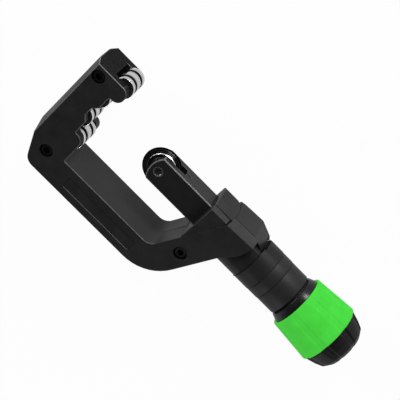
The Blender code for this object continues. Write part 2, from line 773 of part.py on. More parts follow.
def make_handle_sleeve(name):
    bore = SLEEVE_BORE_RADIUS
    spigot = SLEEVE_NECK_RADIUS
    front = SOCKET_START_X + GAP
    ring = BARREL_END_X + GAP
    bevel = SLEEVE_CHAMFER
    profile = [
        (SLEEVE_NECK_RADIUS, SLEEVE_END_X),
        (SLEEVE_NECK_RADIUS, SLEEVE_SHOULDER_X),
        (SLEEVE_REAR_RADIUS - bevel, SLEEVE_SHOULDER_X),
        (SLEEVE_REAR_RADIUS, SLEEVE_SHOULDER_X - bevel),
        (SLEEVE_REAR_RADIUS, SLEEVE_STEP_X),
        (SLEEVE_FRONT_RADIUS, SLEEVE_STEP_X - bevel),
        (SLEEVE_FRONT_RADIUS, ring + bevel),
        (SLEEVE_FRONT_RADIUS - bevel, ring),
        (spigot, ring),
        (spigot, front),
        (bore, front),
        (bore, SLEEVE_END_X),
    ]
    return turned(name, profile, ROOT, black_cast, axis="X", sides=48)


def make_end_bush(name):
    body = SLEEVE_BORE_RADIUS - GAP
    bore = JOURNAL_RADIUS + RUNNING_FIT
    seat = SLEEVE_END_X + GAP
    profile = [
        (SLEEVE_NECK_RADIUS, BUSH_REAR_X),
        (SLEEVE_NECK_RADIUS, seat),
        (body, seat),
        (body, BUSH_FRONT_X),
        (bore, BUSH_FRONT_X),
        (bore, BUSH_REAR_X),
    ]
    return turned(name, profile, ROOT, bronze, axis="X", sides=32)


def make_washer(name, outer, inner, front, parent, material):
    rear = front + WASHER_THICKNESS
    profile = [(outer, rear), (outer, front), (inner, front), (inner, rear)]
    return turned(name, profile, parent, material, axis="X", sides=28)


def make_slide_bar(name, parent):
    """The square bar: an arched nose, the wheel's slot and slit, and a bored tail for the nut."""
    half = BAR_HALF
    rise = BAR_NOSE_RADIUS - math.sqrt(BAR_NOSE_RADIUS**2 - half**2)
    steps = 8
    spread = math.asin(half / BAR_NOSE_RADIUS)
    outline = [(BAR_TAIL_X, -half), (BAR_TAIL_X, half), (BAR_NOSE_X + rise, half)]
    for step in range(1, steps):
        turn = spread * (1 - 2 * step / steps)
        x = BAR_NOSE_X + BAR_NOSE_RADIUS * (1 - math.cos(turn))
        outline.append((x, BAR_NOSE_RADIUS * math.sin(turn)))
    outline.append((BAR_NOSE_X + rise, -half))
    mesh = plate_mesh(name, outline, -half, half)
    break_edges(mesh, BAR_BEVEL, lambda p: p.x > BAR_NOSE_X - 1)
    mesh.transform(Matrix.Translation((-WHEEL_X, 0, 0)))
    bar = add_mesh(name, mesh, parent, black_cast)
    past = 0.010
    side = half + past
    slot = WHEEL_SLOT_HALF
    cut(bar, box_mesh("wheel_slot", (BAR_NOSE_X - past, -side, -slot), (WHEEL_SLOT_END_X, side, slot)))
    cut(bar, box_mesh("slit", (WHEEL_X, -side, -SLIT_HALF), (SLIT_END_X, side, SLIT_HALF)))
    tail = BAR_TAIL_X + past
    cut(bar, rod_mesh("screw_bore", SCREW_BORE_RADIUS, WHEEL_SLOT_END_X + 0.001, tail, "X", sides=28))
    cut(bar, rod_mesh("nut_pocket", NUT_RADIUS + GAP, NUT_FRONT_X - GAP, tail, "X", sides=32))
    cut(bar, rod_mesh("pin_way", WHEEL_PIN_RADIUS + GAP, -side, side, at=(WHEEL_X, 0, 0), sides=24))
    floor = CLIP_POCKET_DEPTH - half
    cut(bar, rod_mesh("clip_pocket", CLIP_POCKET_RADIUS, -side, floor, at=(WHEEL_X, 0, 0), sides=28))
    spot = (NUT_FRONT_X + NUT_LENGTH / 2, 0, 0)
    cut(bar, rod_mesh("set_screw_way", SET_SCREW_RADIUS + GAP, SCREW_RADIUS, side, at=spot, sides=16))
    return bar


def make_feed_nut(name, parent):
    rear = BAR_TAIL_X - WHEEL_X
    front = NUT_FRONT_X - WHEEL_X
    bevel = 0.0005
    profile = [
        (NUT_RADIUS - bevel, rear),
        (NUT_RADIUS, rear - bevel),
        (NUT_RADIUS, front),
        (SCREW_BORE_RADIUS, front),
        (SCREW_BORE_RADIUS, rear),
    ]
    nut = turned(name, profile, parent, bronze, axis="X", sides=32)
    floor = NUT_RADIUS - SET_SCREW_BITE - GAP
    spot = (NUT_FRONT_X + NUT_LENGTH / 2, 0, 0)
    cut(nut, rod_mesh("dimple", SET_SCREW_RADIUS + GAP, floor, NUT_RADIUS + 0.005, at=spot, sides=16))
    return nut


def make_set_screw(name, parent):
    low = NUT_RADIUS - SET_SCREW_BITE
    x = NUT_FRONT_X + NUT_LENGTH / 2 - WHEEL_X
    mesh = rod_mesh(name, SET_SCREW_RADIUS, low, BAR_HALF - GAP, sides=16)
    smooth(mesh)
    return add_mesh(name, mesh, parent, dark_steel, (x, 0, 0))


def make_wheel_pin(name, parent):
    """The wheel's pin, with a clip groove near its lower end."""
    top = BAR_HALF - WHEEL_PIN_SUNK
    groove_top = CLIP_POCKET_DEPTH - BAR_HALF - GAP
    groove_low = groove_top - PIN_GROOVE_WIDTH
    radius = WHEEL_PIN_RADIUS
    profile = [
        (0, top),
        (radius - 0.0005, top),
        (radius, top - 0.0005),
        (radius, groove_top),
        (PIN_GROOVE_RADIUS, groove_top),
        (PIN_GROOVE_RADIUS, groove_low),
        (radius - 0.0002, groove_low),
        (radius - 0.0002, -BAR_HALF + 0.0002),
        (0, -BAR_HALF + 0.0002),
    ]
    return turned(name, profile, parent, plated_steel, sides=24, closed=False)


def make_pin_clip(name, parent):
    """An open ring that snaps into the pin's groove."""
    high = CLIP_POCKET_DEPTH - BAR_HALF - GAP - GAP
    low = high - PIN_GROOVE_WIDTH + 2 * GAP
    inner = PIN_GROOVE_RADIUS + GAP
    outer = CLIP_OUTER_RADIUS
    profile = [(outer, high), (outer, low), (inner, low), (inner, high)]
    clip = turned(name, profile, parent, dark_steel, sides=24)
    mouth = CLIP_MOUTH / 2
    x = WHEEL_X
    cut(clip, box_mesh("mouth", (x, -mouth, low - 0.001), (x + outer + 0.001, mouth, high + 0.001)))
    return clip


def make_cutting_wheel(name, parent):
    bore = WHEEL_PIN_RADIUS + 2 * RUNNING_FIT + WHEEL_BUSH_WALL
    half = [
        (WHEEL_HUB_RADIUS, WHEEL_HUB_HALF),
        (WHEEL_HUB_RADIUS, WHEEL_WEB_HALF),
        (WHEEL_WEB_RADIUS, WHEEL_WEB_HALF),
        (WHEEL_RADIUS, WHEEL_EDGE_HALF),
    ]
    profile = half + [(radius, -station) for radius, station in half[::-1]]
    profile += [(bore, -WHEEL_HUB_HALF), (bore, WHEEL_HUB_HALF)]
    return turned(name, profile, parent, dark_steel, sides=44)


def make_wheel_bush(name, parent):
    inner = WHEEL_PIN_RADIUS + RUNNING_FIT
    outer = inner + WHEEL_BUSH_WALL
    half = WHEEL_HUB_HALF
    profile = [(outer, half), (outer, -half), (inner, -half), (inner, half)]
    return turned(name, profile, parent, bronze, sides=24)


def make_feed_screw(name, parent):
    """Thread body, thrust flange, journal and the stud that holds the knob."""
    flange_front = FLANGE_REAR_X - SCREW_FLANGE_WIDTH
    bevel = 0.0010
    profile = [
        (0, HUB_REAR_X + STUD_LENGTH),
        (STUD_RADIUS, HUB_REAR_X + STUD_LENGTH),
        (STUD_RADIUS, HUB_REAR_X - GAP),
        (JOURNAL_RADIUS, HUB_REAR_X - GAP),
        (JOURNAL_RADIUS, FLANGE_REAR_X),
        (SCREW_FLANGE_RADIUS, FLANGE_REAR_X),
        (SCREW_FLANGE_RADIUS, flange_front),
        (SCREW_RADIUS, flange_front),
        (SCREW_RADIUS, SCREW_TIP_X + bevel),
        (SCREW_RADIUS - bevel, SCREW_TIP_X),
        (0, SCREW_TIP_X),
    ]
    screw = turned(name, profile, parent, dark_steel, axis="X", sides=32, closed=False)
    cut(screw, drive_pin_way("screw_cross_hole"))
    return screw


def drive_pin_way(name):
    reach = CORE_RADIUS + 0.010
    middle = (HUB_FRONT_X + HUB_LENGTH / 2, 0, 0)
    return rod_mesh(name, DRIVE_PIN_RADIUS + GAP, -reach, reach, "Y", at=middle, sides=16)


def make_drive_pin(name, parent):
    reach = CORE_RADIUS - GAP
    mesh = rod_mesh(name, DRIVE_PIN_RADIUS, -reach, reach, "Y", sides=16)
    smooth(mesh)
    return add_mesh(name, mesh, parent, dark_steel, (HUB_FRONT_X + HUB_LENGTH / 2, 0, 0))


def make_knob_core(name, parent):
    """The flared collar and the core under the grip, bored for the sleeve's neck and the screw."""
    mouth = SLEEVE_NECK_RADIUS + RUNNING_FIT
    journal = JOURNAL_RADIUS + GAP
    profile = [
        (HUB_RECESS_RADIUS, CORE_REAR_X),
        (CORE_RADIUS, CORE_REAR_X),
        (CORE_RADIUS, COLLAR_REAR_X),
        (COLLAR_FRONT_RADIUS, COLLAR_FRONT_X),
        (mouth, COLLAR_FRONT_X),
        (mouth, HUB_FRONT_X),
        (journal, HUB_FRONT_X),
        (journal, HUB_REAR_X),
        (HUB_RECESS_RADIUS, HUB_REAR_X),
    ]
    core = turned(name, profile, parent, black_plastic, axis="X", sides=48)
    cut(core, drive_pin_way("core_cross_hole"))
    return core


def make_knob_grip(name, parent):
    """The green sleeve: eight lobes, wider towards the rear."""
    front = COLLAR_REAR_X + GAP
    rear = GRIP_REAR_X
    spread = (GRIP_REAR_RADIUS - GRIP_FRONT_RADIUS) / (rear - front)
    run = GRIP_ROUND
    bore = CORE_RADIUS + GAP
    rings = [
        (GRIP_FRONT_RADIUS - run, front, 0),
        (GRIP_FRONT_RADIUS + spread * run, front + run, GRIP_FLUTE_DEPTH / 2),
        (GRIP_FRONT_RADIUS + spread * 4 * run, front + 4 * run, GRIP_FLUTE_DEPTH),
        (GRIP_REAR_RADIUS, rear - run, GRIP_FLUTE_DEPTH),
        (GRIP_REAR_RADIUS - run, rear, GRIP_FLUTE_DEPTH),
    ]
    mesh = lobed_mesh(name, rings, [(bore, rear), (bore, front)])
    return add_mesh(name, mesh, parent, green_plastic)


def make_end_cap(name, parent):
    """The lobed black cap, with a hollow spigot that sits in the core's recess."""
    spigot = HUB_RECESS_RADIUS - GAP
    hollow = spigot - CAP_SPIGOT_WALL
    seat = CAP_SEAT_X
    end = CAP_END_X
    rings = [(spigot, seat - CAP_SPIGOT_LENGTH, 0), (spigot, seat, 0)]
    for inset, behind in CAP_PROFILE:
        radius = GRIP_REAR_RADIUS - inset
        rings.append((radius, seat + behind, CAP_FLUTE_DEPTH * radius / GRIP_REAR_RADIUS))
    rings += [(CAP_FACE_RADIUS, end, 0), (CAP_FACE_RADIUS / 2, end, 0)]
    bore = [(0.0001, end), (0.0001, CAP_HOLLOW_END_X), (hollow, CAP_HOLLOW_END_X), (hollow, seat - CAP_SPIGOT_LENGTH)]
    mesh = lobed_mesh(name, rings, bore)
    return add_mesh(name, mesh, parent, black_plastic)


def make_knob_nut(name, parent):
    front = HUB_REAR_X + 2 * GAP + WASHER_THICKNESS
    corner = KNOB_NUT_FLATS / 2 / math.cos(math.pi / 6)
    mesh = rod_mesh(name, corner, front, front + KNOB_NUT_HEIGHT, "X", sides=6)
    nut = add_mesh(name, mesh, parent, plated_steel)
    way = front + KNOB_NUT_HEIGHT + 0.01
    cut(nut, rod_mesh("stud_way", STUD_RADIUS + GAP, front - 0.01, way, "X", sides=24))
    return nut


def build_frame():
    make_frame_half("frame_half_upper", 1)
    make_frame_half("frame_half_lower", -1)
    for index, (x, y) in enumerate(FRAME_SCREWS, 1):
        make_frame_screw(f"frame_screw_{index}", x, y)
    make_guide_housing("guide_housing")
    make_handle_sleeve("handle_sleeve")
    make_end_bush("sleeve_end_bush")


def build_rollers():
    for label, x, y, radius in roller_spots():
        make_roller(f"roller_{label}", x, y, radius)
        make_roller_pin(f"roller_pin_{label}", x, y)


def build_slide():
    carriage = make_empty("slide_axis", ROOT, (WHEEL_X, 0, 0))
    make_slide_bar("slide_bar", carriage)
    make_feed_nut("feed_nut", carriage)
    make_set_screw("nut_set_screw", carriage)
    make_wheel_pin("wheel_pin", carriage)
    make_pin_clip("wheel_pin_clip", carriage)
    wheel_axis = make_empty("wheel_axis", carriage)
    make_cutting_wheel("cutting_wheel", wheel_axis)
    make_wheel_bush("wheel_bush", wheel_axis)


def build_knob():
    knob = make_empty("knob_axis", ROOT)
    bore = WASHER_BORE_RADIUS
    front = FLANGE_REAR_X + GAP
    make_feed_screw("feed_screw", knob)
    make_washer("thrust_washer_front", FRONT_WASHER_RADIUS, bore, front, knob, dark_steel)
    make_washer("thrust_washer_rear", REAR_WASHER_RADIUS, bore, BUSH_REAR_X + GAP, knob, dark_steel)
    make_knob_core("knob_core", knob)
    make_drive_pin("knob_drive_pin", knob)
    make_knob_grip("knob_grip", knob)
    make_end_cap("knob_end_cap", knob)
    stud = STUD_RADIUS + GAP
    make_washer("knob_nut_washer", KNOB_WASHER_RADIUS, stud, HUB_REAR_X + GAP, knob, plated_steel)
    make_knob_nut("knob_nut", knob)


build_frame()
build_rollers()
build_slide()
build_knob()
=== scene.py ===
import math

import bmesh
import bpy
from mathutils import Matrix, Vector


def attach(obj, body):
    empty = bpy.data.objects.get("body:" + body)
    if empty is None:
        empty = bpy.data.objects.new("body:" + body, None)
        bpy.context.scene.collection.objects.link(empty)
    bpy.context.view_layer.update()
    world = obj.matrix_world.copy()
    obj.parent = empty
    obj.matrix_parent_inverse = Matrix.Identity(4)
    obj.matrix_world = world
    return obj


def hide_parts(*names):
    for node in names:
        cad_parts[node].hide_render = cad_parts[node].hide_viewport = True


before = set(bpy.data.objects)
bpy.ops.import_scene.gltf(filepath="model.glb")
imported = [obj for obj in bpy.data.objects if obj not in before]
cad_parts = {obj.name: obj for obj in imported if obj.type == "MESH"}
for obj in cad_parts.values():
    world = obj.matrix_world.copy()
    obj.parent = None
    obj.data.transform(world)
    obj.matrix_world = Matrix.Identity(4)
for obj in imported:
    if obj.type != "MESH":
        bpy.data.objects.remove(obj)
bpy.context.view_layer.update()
print("stage: frame loaded,", len(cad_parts), "nodes")

# All shapes are drawn in millimetres about the feed screw's axis, with x = 0 near the outer rollers
mm = 0.001
toolOrigin = Vector((-0.102, 0.01265, 0.023642268))
toWorld = Matrix.Translation(toolOrigin) @ Matrix.Diagonal((mm, mm, mm, 1))
past = 10.0        # how far a cutting shape runs beyond the piece that it cuts
scene = bpy.context.scene


def fromAxis(spot):
    # a point's distance from the feed screw's axis
    return math.hypot(spot.y, spot.z)


def fromLine(spot, x, y=0.0):
    # a point's distance from a line along Z
    return math.hypot(spot.x - x, spot.y - y)


def roundedOutline(corners, arcDegrees=7.5):
    # closed outline whose corners (x, y, radius) become arcs
    points = []
    for index, (x, y, radius) in enumerate(corners):
        here = Vector((x, y))
        before = (Vector(corners[index - 1][:2]) - here).normalized()
        after = (Vector(corners[(index + 1) % len(corners)][:2]) - here).normalized()
        if not radius:
            points.append(here)
            continue
        half = before.angle(after) / 2
        middle = here + (before + after).normalized() * radius / math.sin(half)
        start = here + before * radius / math.tan(half) - middle
        turn = start.angle_signed(here + after * radius / math.tan(half) - middle)
        steps = max(2, round(math.degrees(abs(turn)) / arcDegrees))
        for step in range(steps + 1):
            arm = start.copy()
            arm.rotate(Matrix.Rotation(-turn * step / steps, 2))
            points.append(middle + arm)
    return points


def meshFrom(name, work):
    mesh = bpy.data.meshes.new(name)
    work.to_mesh(mesh)
    work.free()
    return mesh


def plateMesh(name, outline, low, high, plane="XY"):
    # a filled outline, extruded from low to high across its plane
    place = {
        "XY": lambda a, b, c: (a, b, c),
        "YZ": lambda a, b, c: (c, a, b),
        "XZ": lambda a, b, c: (a, c, b),
    }[plane]
    work = bmesh.new()
    lower = [work.verts.new(place(a, b, low)) for a, b in outline]
    upper = [work.verts.new(place(a, b, high)) for a, b in outline]
    work.faces.new(lower)
    work.faces.new(upper)
    for index in range(len(outline)):
        work.faces.new((lower[index - 1], lower[index], upper[index], upper[index - 1]))
    bmesh.ops.recalc_face_normals(work, faces=work.faces)
    return meshFrom(name, work)


def boxMesh(name, low, high):
    (x0, y0, z0), (x1, y1, z1) = low, high
    return plateMesh(name, [(x0, y0), (x1, y0), (x1, y1), (x0, y1)], z0, z1)


def turnedMesh(name, corners, axis="Z", sides=96, at=(0, 0, 0), arcDegrees=22.5, phase=0.0):
    # a closed profile of (radius, station, corner radius), turned about X or Z
    profile = roundedOutline(corners, arcDegrees)
    work = bmesh.new()
    rows = []
    for radius, station in profile:
        if radius < 1e-5:
            spot = (station, 0, 0) if axis == "X" else (0, 0, station)
            rows.append([work.verts.new(Vector(spot) + Vector(at))] * sides)
            continue
        row = []
        for side in range(sides):
            angle = phase + 2 * math.pi * side / sides
            a = radius * math.sin(angle)
            b = radius * math.cos(angle)
            spot = (station, a, b) if axis == "X" else (b, a, station)
            row.append(work.verts.new(Vector(spot) + Vector(at)))
        rows.append(row)
    for first, second in zip(rows, rows[1:] + rows[:1]):
        for side in range(sides):
            after = (side + 1) % sides
            ring = list(dict.fromkeys((first[side], first[after], second[after], second[side])))
            if len(ring) > 2:
                work.faces.new(ring)
    bmesh.ops.recalc_face_normals(work, faces=work.faces)
    return meshFrom(name, work)


def rodMesh(name, radius, low, high, axis="Z", at=(0, 0, 0), sides=48):
    corners = [(0, low, 0), (radius, low, 0), (radius, high, 0), (0, high, 0)]
    return turnedMesh(name, corners, axis, sides, at)


def bakedMesh(thing):
    # the plain mesh that an object's modifiers give, with the object taken away
    graph = bpy.context.evaluated_depsgraph_get()
    mesh = bpy.data.meshes.new_from_object(thing.evaluated_get(graph))
    bpy.data.objects.remove(thing, do_unlink=True)
    return mesh


def placeThing(name, data):
    thing = bpy.data.objects.new(name, data)
    scene.collection.objects.link(thing)
    return thing


def cut(mesh):
    return "DIFFERENCE", mesh


def join(mesh):
    return "UNION", mesh


def carve(base, steps):
    # one boolean after another, each made by cut or join
    thing = placeThing(base.name + "Blank", base)
    tools = []
    for operation, shape in steps:
        tool = placeThing(shape.name + "Tool", shape)
        tool.hide_render = True
        tools.append(tool)
        step = thing.modifiers.new(shape.name, "BOOLEAN")
        step.operation = operation
        step.solver = "EXACT"
        step.object = tool
    mesh = bakedMesh(thing)
    for tool in tools:
        bpy.data.objects.remove(tool, do_unlink=True)
    return mesh


def softenEdges(mesh, width, weigh, edgeSheenShare, steps=3, cornerDegrees=28):
    # rounds the corner edges by width times weigh(middle), and marks by the share function the faces that
    # get a painted highlight
    work = bmesh.new()
    work.from_mesh(mesh)
    bmesh.ops.remove_doubles(work, verts=work.verts, dist=0.002)
    bmesh.ops.dissolve_limit(work, angle_limit=math.radians(0.4), verts=work.verts, edges=work.edges)
    weights = work.edges.layers.float.new("bevel_weight_edge")
    for edge in work.edges:
        corner = len(edge.link_faces) == 2 and edge.calc_face_angle() > math.radians(cornerDegrees)
        share = weigh((edge.verts[0].co + edge.verts[1].co) / 2) if corner else 0
        edge[weights] = share
        edge.smooth = not corner or share > 0
    for face in work.faces:
        face.smooth = True
    mesh = meshFrom(mesh.name, work)
    mesh.materials.append(None)
    mesh.materials.append(None)
    thing = placeThing(mesh.name + "Soft", mesh)
    soft = thing.modifiers.new("soft", "BEVEL")
    soft.width = width
    soft.segments = steps
    soft.limit_method = "WEIGHT"
    soft.use_clamp_overlap = False
    soft.loop_slide = False
    soft.material = 1
    mesh = bakedMesh(thing)
    evenNormals(mesh, cornerDegrees)
    markFaces(mesh, "edge", edgeSheenShare)
    return mesh


# the slide bar's rounded edges get painted highlight
def bevelSheen(face):
    return face.material_index


def evenNormals(mesh, cornerDegrees):
    # plain faces stay flat or join their smooth neighbours, and the rounded edges blend between them
    limit = math.cos(math.radians(cornerDegrees))
    faces = mesh.polygons
    around = [[] for vert in mesh.vertices]
    for face in faces:
        for vert in face.vertices:
            around[vert].append(face)
    normals = []
    for face in faces:
        for vert in face.vertices:
            plain = [other.normal for other in around[vert] if other.material_index == 0]
            guide = face.normal
            if face.material_index == 1 and plain:
                guide = max(plain, key=guide.dot)
            elif face.material_index == 1:
                plain = [other.normal for other in around[vert]]
                guide = None
            near = [normal for normal in plain if guide is None or normal.dot(guide) > limit]
            normals.append(sum(near, Vector()).normalized())
    mesh.normals_split_custom_set(normals)


def markFaces(mesh, label, share):
    # "edge" marks the faces that get a painted highlight on paint and polish on metal, "recess" the ones
    # that get painted shade, each by a share of 0 to 1
    mark = mesh.attributes.new(label, "FLOAT", "CORNER")
    for face in mesh.polygons:
        value = float(share(face))
        for loop in face.loop_indices:
            mark.data[loop].value = value


def smoothTurned(mesh, degrees=32):
    mesh.shade_smooth()
    mesh.set_sharp_from_angle(angle=math.radians(degrees))
    return mesh


def finishPiece(name, mesh, body, nodes, finish):
    mesh.transform(toWorld)
    mesh.name = name
    mesh.materials.clear()
    mesh.materials.append(finishes[finish])
    for face in mesh.polygons:
        face.material_index = 0
    piece = placeThing(name, mesh)
    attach(piece, body)
    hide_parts(*nodes)


class Nodes:
    # short calls for wiring one node tree
    def __init__(self, tree):
        self.tree = tree

    def add(self, kind, inputs=None, **settings):
        node = self.tree.nodes.new(kind)
        for key, value in settings.items():
            setattr(node, key, value)
        for key, value in (inputs or {}).items():
            self.feed(node.inputs[key], value)
        return node

    def feed(self, socket, value):
        if isinstance(value, bpy.types.NodeSocket):
            self.tree.links.new(value, socket)
        else:
            socket.default_value = value

    def math(self, operation, a, b=0.0, clamp=False):
        node = self.add("ShaderNodeMath", {0: a, 1: b}, operation=operation, use_clamp=clamp)
        return node.outputs[0]

    def mix(self, factor, a, b):
        node = self.add("ShaderNodeMix", data_type="RGBA")
        colours = [socket for socket in node.inputs if socket.type == "RGBA"]
        self.feed(node.inputs["Factor"], factor)
        self.feed(colours[0], a)
        self.feed(colours[1], b)
        return [socket for socket in node.outputs if socket.type == "RGBA"][0]

    def spread(self, value, low, high, toLow=0.0, toHigh=1.0):
        node = self.add("ShaderNodeMapRange", {0: value, 1: low, 2: high, 3: toLow, 4: toHigh})
        return node.outputs[0]

    def spot(self):
        return self.add("ShaderNodeTexCoord").outputs["Object"]

    def noise(self, scale, detail, at=None, roughness=0.5):
        settings = {"Vector": at or self.spot(), "Scale": scale, "Detail": detail, "Roughness": roughness}
        return self.add("ShaderNodeTexNoise", settings).outputs["Fac"]

    def mark(self, label):
        return self.add("ShaderNodeAttribute", attribute_name=label).outputs["Fac"]

    def group(self, tree, **values):
        inputs = {label.replace("_", " "): value for label, value in values.items()}
        return self.add("ShaderNodeGroup", inputs, node_tree=tree).outputs


number = "NodeSocketFloat"


def newGroup(name, outputs, **inputs):
    # a shader node group of plain numbers; Dapple_Scale becomes the input Dapple Scale
    tree = bpy.data.node_groups.new(name, "ShaderNodeTree")
    for label, value in inputs.items():
        socket = tree.interface.new_socket(label.replace("_", " "), in_out="INPUT", socket_type=number)
        socket.default_value = value
    for label in outputs:
        tree.interface.new_socket(label, in_out="OUTPUT", socket_type=number)
    wire = Nodes(tree)
    return wire, wire.add("NodeGroupInput").outputs, wire.add("NodeGroupOutput").inputs


def makeCastGrain():
    # sand-cast skin under paint: broad dapple and a fine pebble
    wire, given, out = newGroup(
        "castGrain", ["Height", "Tone"], Dapple_Scale=90.0, Pebble_Scale=1400.0, Pebble_Share=0.5
    )
    dapple = wire.noise(given["Dapple Scale"], 3.0)
    pebble = wire.noise(given["Pebble Scale"], 2.0)
    fine = wire.math("MULTIPLY", pebble, given["Pebble Share"])
    coarse = wire.math("MULTIPLY", dapple, wire.math("SUBTRACT", 1.0, given["Pebble Share"]))
    wire.feed(out["Height"], wire.math("ADD", fine, coarse))
    wire.feed(out["Tone"], wire.spread(dapple, 0.3, 0.7))
    return wire.tree


def makeEdgeSheenAndPolish():
    # the marked edges and faces, broken up by noise: painted highlight on paint, polished edges on turned
    # metal
    wire, given, out = newGroup("edgeRub", ["Mask"], Amount=0.6, Break_Up=400.0)
    patchy = wire.spread(wire.noise(given["Break Up"], 4.0), 0.35, 0.6, 0.7, 1.0)
    edge = wire.math("MULTIPLY", wire.mark("edge"), patchy)
    wire.feed(out["Mask"], wire.math("MULTIPLY", edge, given["Amount"], True))
    return wire.tree


def makeRecessShade():
    # painted shade: darkens the marked grooves, gaps and shaded faces, a little less where the noise is high
    wire, given, out = newGroup("recessSoil", ["Mask"], Break_Up=700.0)
    shadeStrength = wire.spread(wire.noise(given["Break Up"], 3.0), 0.3, 0.7, 1.0, 0.85)
    wire.feed(out["Mask"], wire.math("MULTIPLY", wire.mark("recess"), shadeStrength, True))
    return wire.tree


def makeTurnedLines():
    # the fine rings that a lathe leaves, along one axis
    wire, given, out = newGroup("turnedLines", ["Height", "Tone"], Along=0.0, Pitch=3000.0, Waver=0.15)
    stretch = wire.add("ShaderNodeCombineXYZ", {"X": given["Along"]}).outputs[0]
    rings = wire.noise(given["Pitch"], 2.0, stretch)
    height = wire.math("ADD", rings, wire.math("MULTIPLY", wire.noise(160.0, 3.0), given["Waver"]))
    wire.feed(out["Height"], height)
    wire.feed(out["Tone"], wire.spread(height, 0.4, 0.75))
    return wire.tree


def makeDustFilm():
    # faint dust and finger marks that change the gloss
    wire, given, out = newGroup("dustFilm", ["Film", "Specks"], Scale=60.0, Speck_Scale=900.0)
    film = wire.noise(given["Scale"], 5.0, roughness=0.6)
    cells = wire.add("ShaderNodeTexVoronoi", {"Vector": wire.spot(), "Scale": given["Speck Scale"]})
    wire.feed(out["Film"], wire.spread(film, 0.38, 0.68))
    wire.feed(out["Specks"], wire.spread(cells.outputs["Distance"], 0.10, 0.04))
    return wire.tree


castGrain = makeCastGrain()
edgeRub = makeEdgeSheenAndPolish()
recessSoil = makeRecessShade()
turnedLines = makeTurnedLines()
dustFilm = makeDustFilm()
dustColour = (0.10, 0.10, 0.10, 1)
# colours of the painted shade in marked recesses, on paint and on turned metal
shadeColour = (0.001, 0.001, 0.001, 1)
metalShadeColour = (0.002, 0.002, 0.002, 1)


def newFinish(name, metallic, specular):
    # a material, its wiring and its Principled shader
    material = bpy.data.materials.new(name)
    material.use_nodes = True
    shader = material.node_tree.nodes["Principled BSDF"]
    shader.inputs["Metallic"].default_value = metallic
    shader.inputs["Specular IOR Level"].default_value = specular
    return material, Nodes(material.node_tree), shader


def feedBump(wire, shader, height, strength, distance):
    bump = wire.add("ShaderNodeBump", {"Height": height, "Strength": strength, "Distance": distance})
    wire.feed(shader.inputs["Normal"], bump.outputs[0])


def skinFinish(name, look):
    # satin paint or moulded plastic: dapple, dust, a lighter painted highlight on the marked edges and
    # faces, and painted shade where faces are marked as recessed
    look = {"polish": 0.1, "dust": 0.0, "film": 45.0, **look}
    material, wire, shader = newFinish(name, 0.0, look["specular"])
    grain = wire.group(castGrain, Dapple_Scale=look["dapple"], Pebble_Scale=look["pebble"])
    edgeSheen = wire.group(edgeRub, Amount=look["edgeSheen"])["Mask"]
    dust = wire.group(dustFilm, Scale=look["film"])
    paintedShade = wire.group(recessSoil)["Mask"]
    body = wire.mix(grain["Tone"], (*look["dark"], 1), (*look["light"], 1))
    body = wire.mix(wire.math("MULTIPLY", dust["Specks"], look["dust"]), body, dustColour)
    # the marked edges and faces get a lighter painted highlight, and the marked recesses get painted shade
    body = wire.mix(edgeSheen, body, (*look["edgeHighlight"], 1))
    wire.feed(shader.inputs["Base Color"], wire.mix(paintedShade, body, shadeColour))
    rough = wire.spread(dust["Film"], 0.0, 1.0, look["rough"] - 0.04, look["rough"] + 0.05)
    rough = wire.math("ADD", rough, wire.math("MULTIPLY", paintedShade, 0.5))
    edgeHighlight = wire.math("MULTIPLY", edgeSheen, look["polish"])
    wire.feed(shader.inputs["Roughness"], wire.math("SUBTRACT", rough, edgeHighlight, True))
    feedBump(wire, shader, grain["Height"], look["bump"], 0.0001)
    if "glow" in look:
        # painted light: the grip glows by itself, which evens out its shading
        faint = tuple(0.9 * part for part in look["glow"])
        wire.feed(shader.inputs["Emission Color"], wire.mix(grain["Tone"], (*faint, 1), (*look["glow"], 1)))
        shader.inputs["Emission Strength"].default_value = look["glowStrength"]
    return material


def turnedFinish(name, look):
    # turned metal, bright or blackened, with rings along the axis it was turned about
    look = {"metallic": 1.0, "specular": 0.5, "polished": look["light"], **look}
    material, wire, shader = newFinish(name, look["metallic"], look["specular"])
    along = wire.add("ShaderNodeSeparateXYZ", {0: wire.spot()}).outputs[look["axis"]]
    lines = wire.group(turnedLines, Along=along, Pitch=look["pitch"])
    edgeSheen = wire.group(edgeRub, Amount=1.0)["Mask"]
    paintedShade = wire.group(recessSoil)["Mask"]
    tone = wire.math("MULTIPLY", lines["Tone"], look["contrast"])
    body = wire.mix(tone, (*look["light"], 1), (*look["dark"], 1))
    body = wire.mix(edgeSheen, body, (*look["polished"], 1))
    # painted shade: the marked grooves, gaps and ends go near black
    wire.feed(shader.inputs["Base Color"], wire.mix(paintedShade, body, metalShadeColour))
    film = wire.group(dustFilm)["Film"]
    rough = wire.spread(film, 0.0, 1.0, look["rough"] - 0.02, look["rough"] + 0.04)
    rough = wire.math("ADD", rough, wire.math("MULTIPLY", paintedShade, 0.3))
    wire.feed(shader.inputs["Roughness"], wire.math("ADD", rough, wire.math("MULTIPLY", tone, 0.05)))
    feedBump(wire, shader, lines["Height"], look["bump"], 0.00005)
    return material


def grey(value, blue=0.0):
    return (value, value, value + blue)


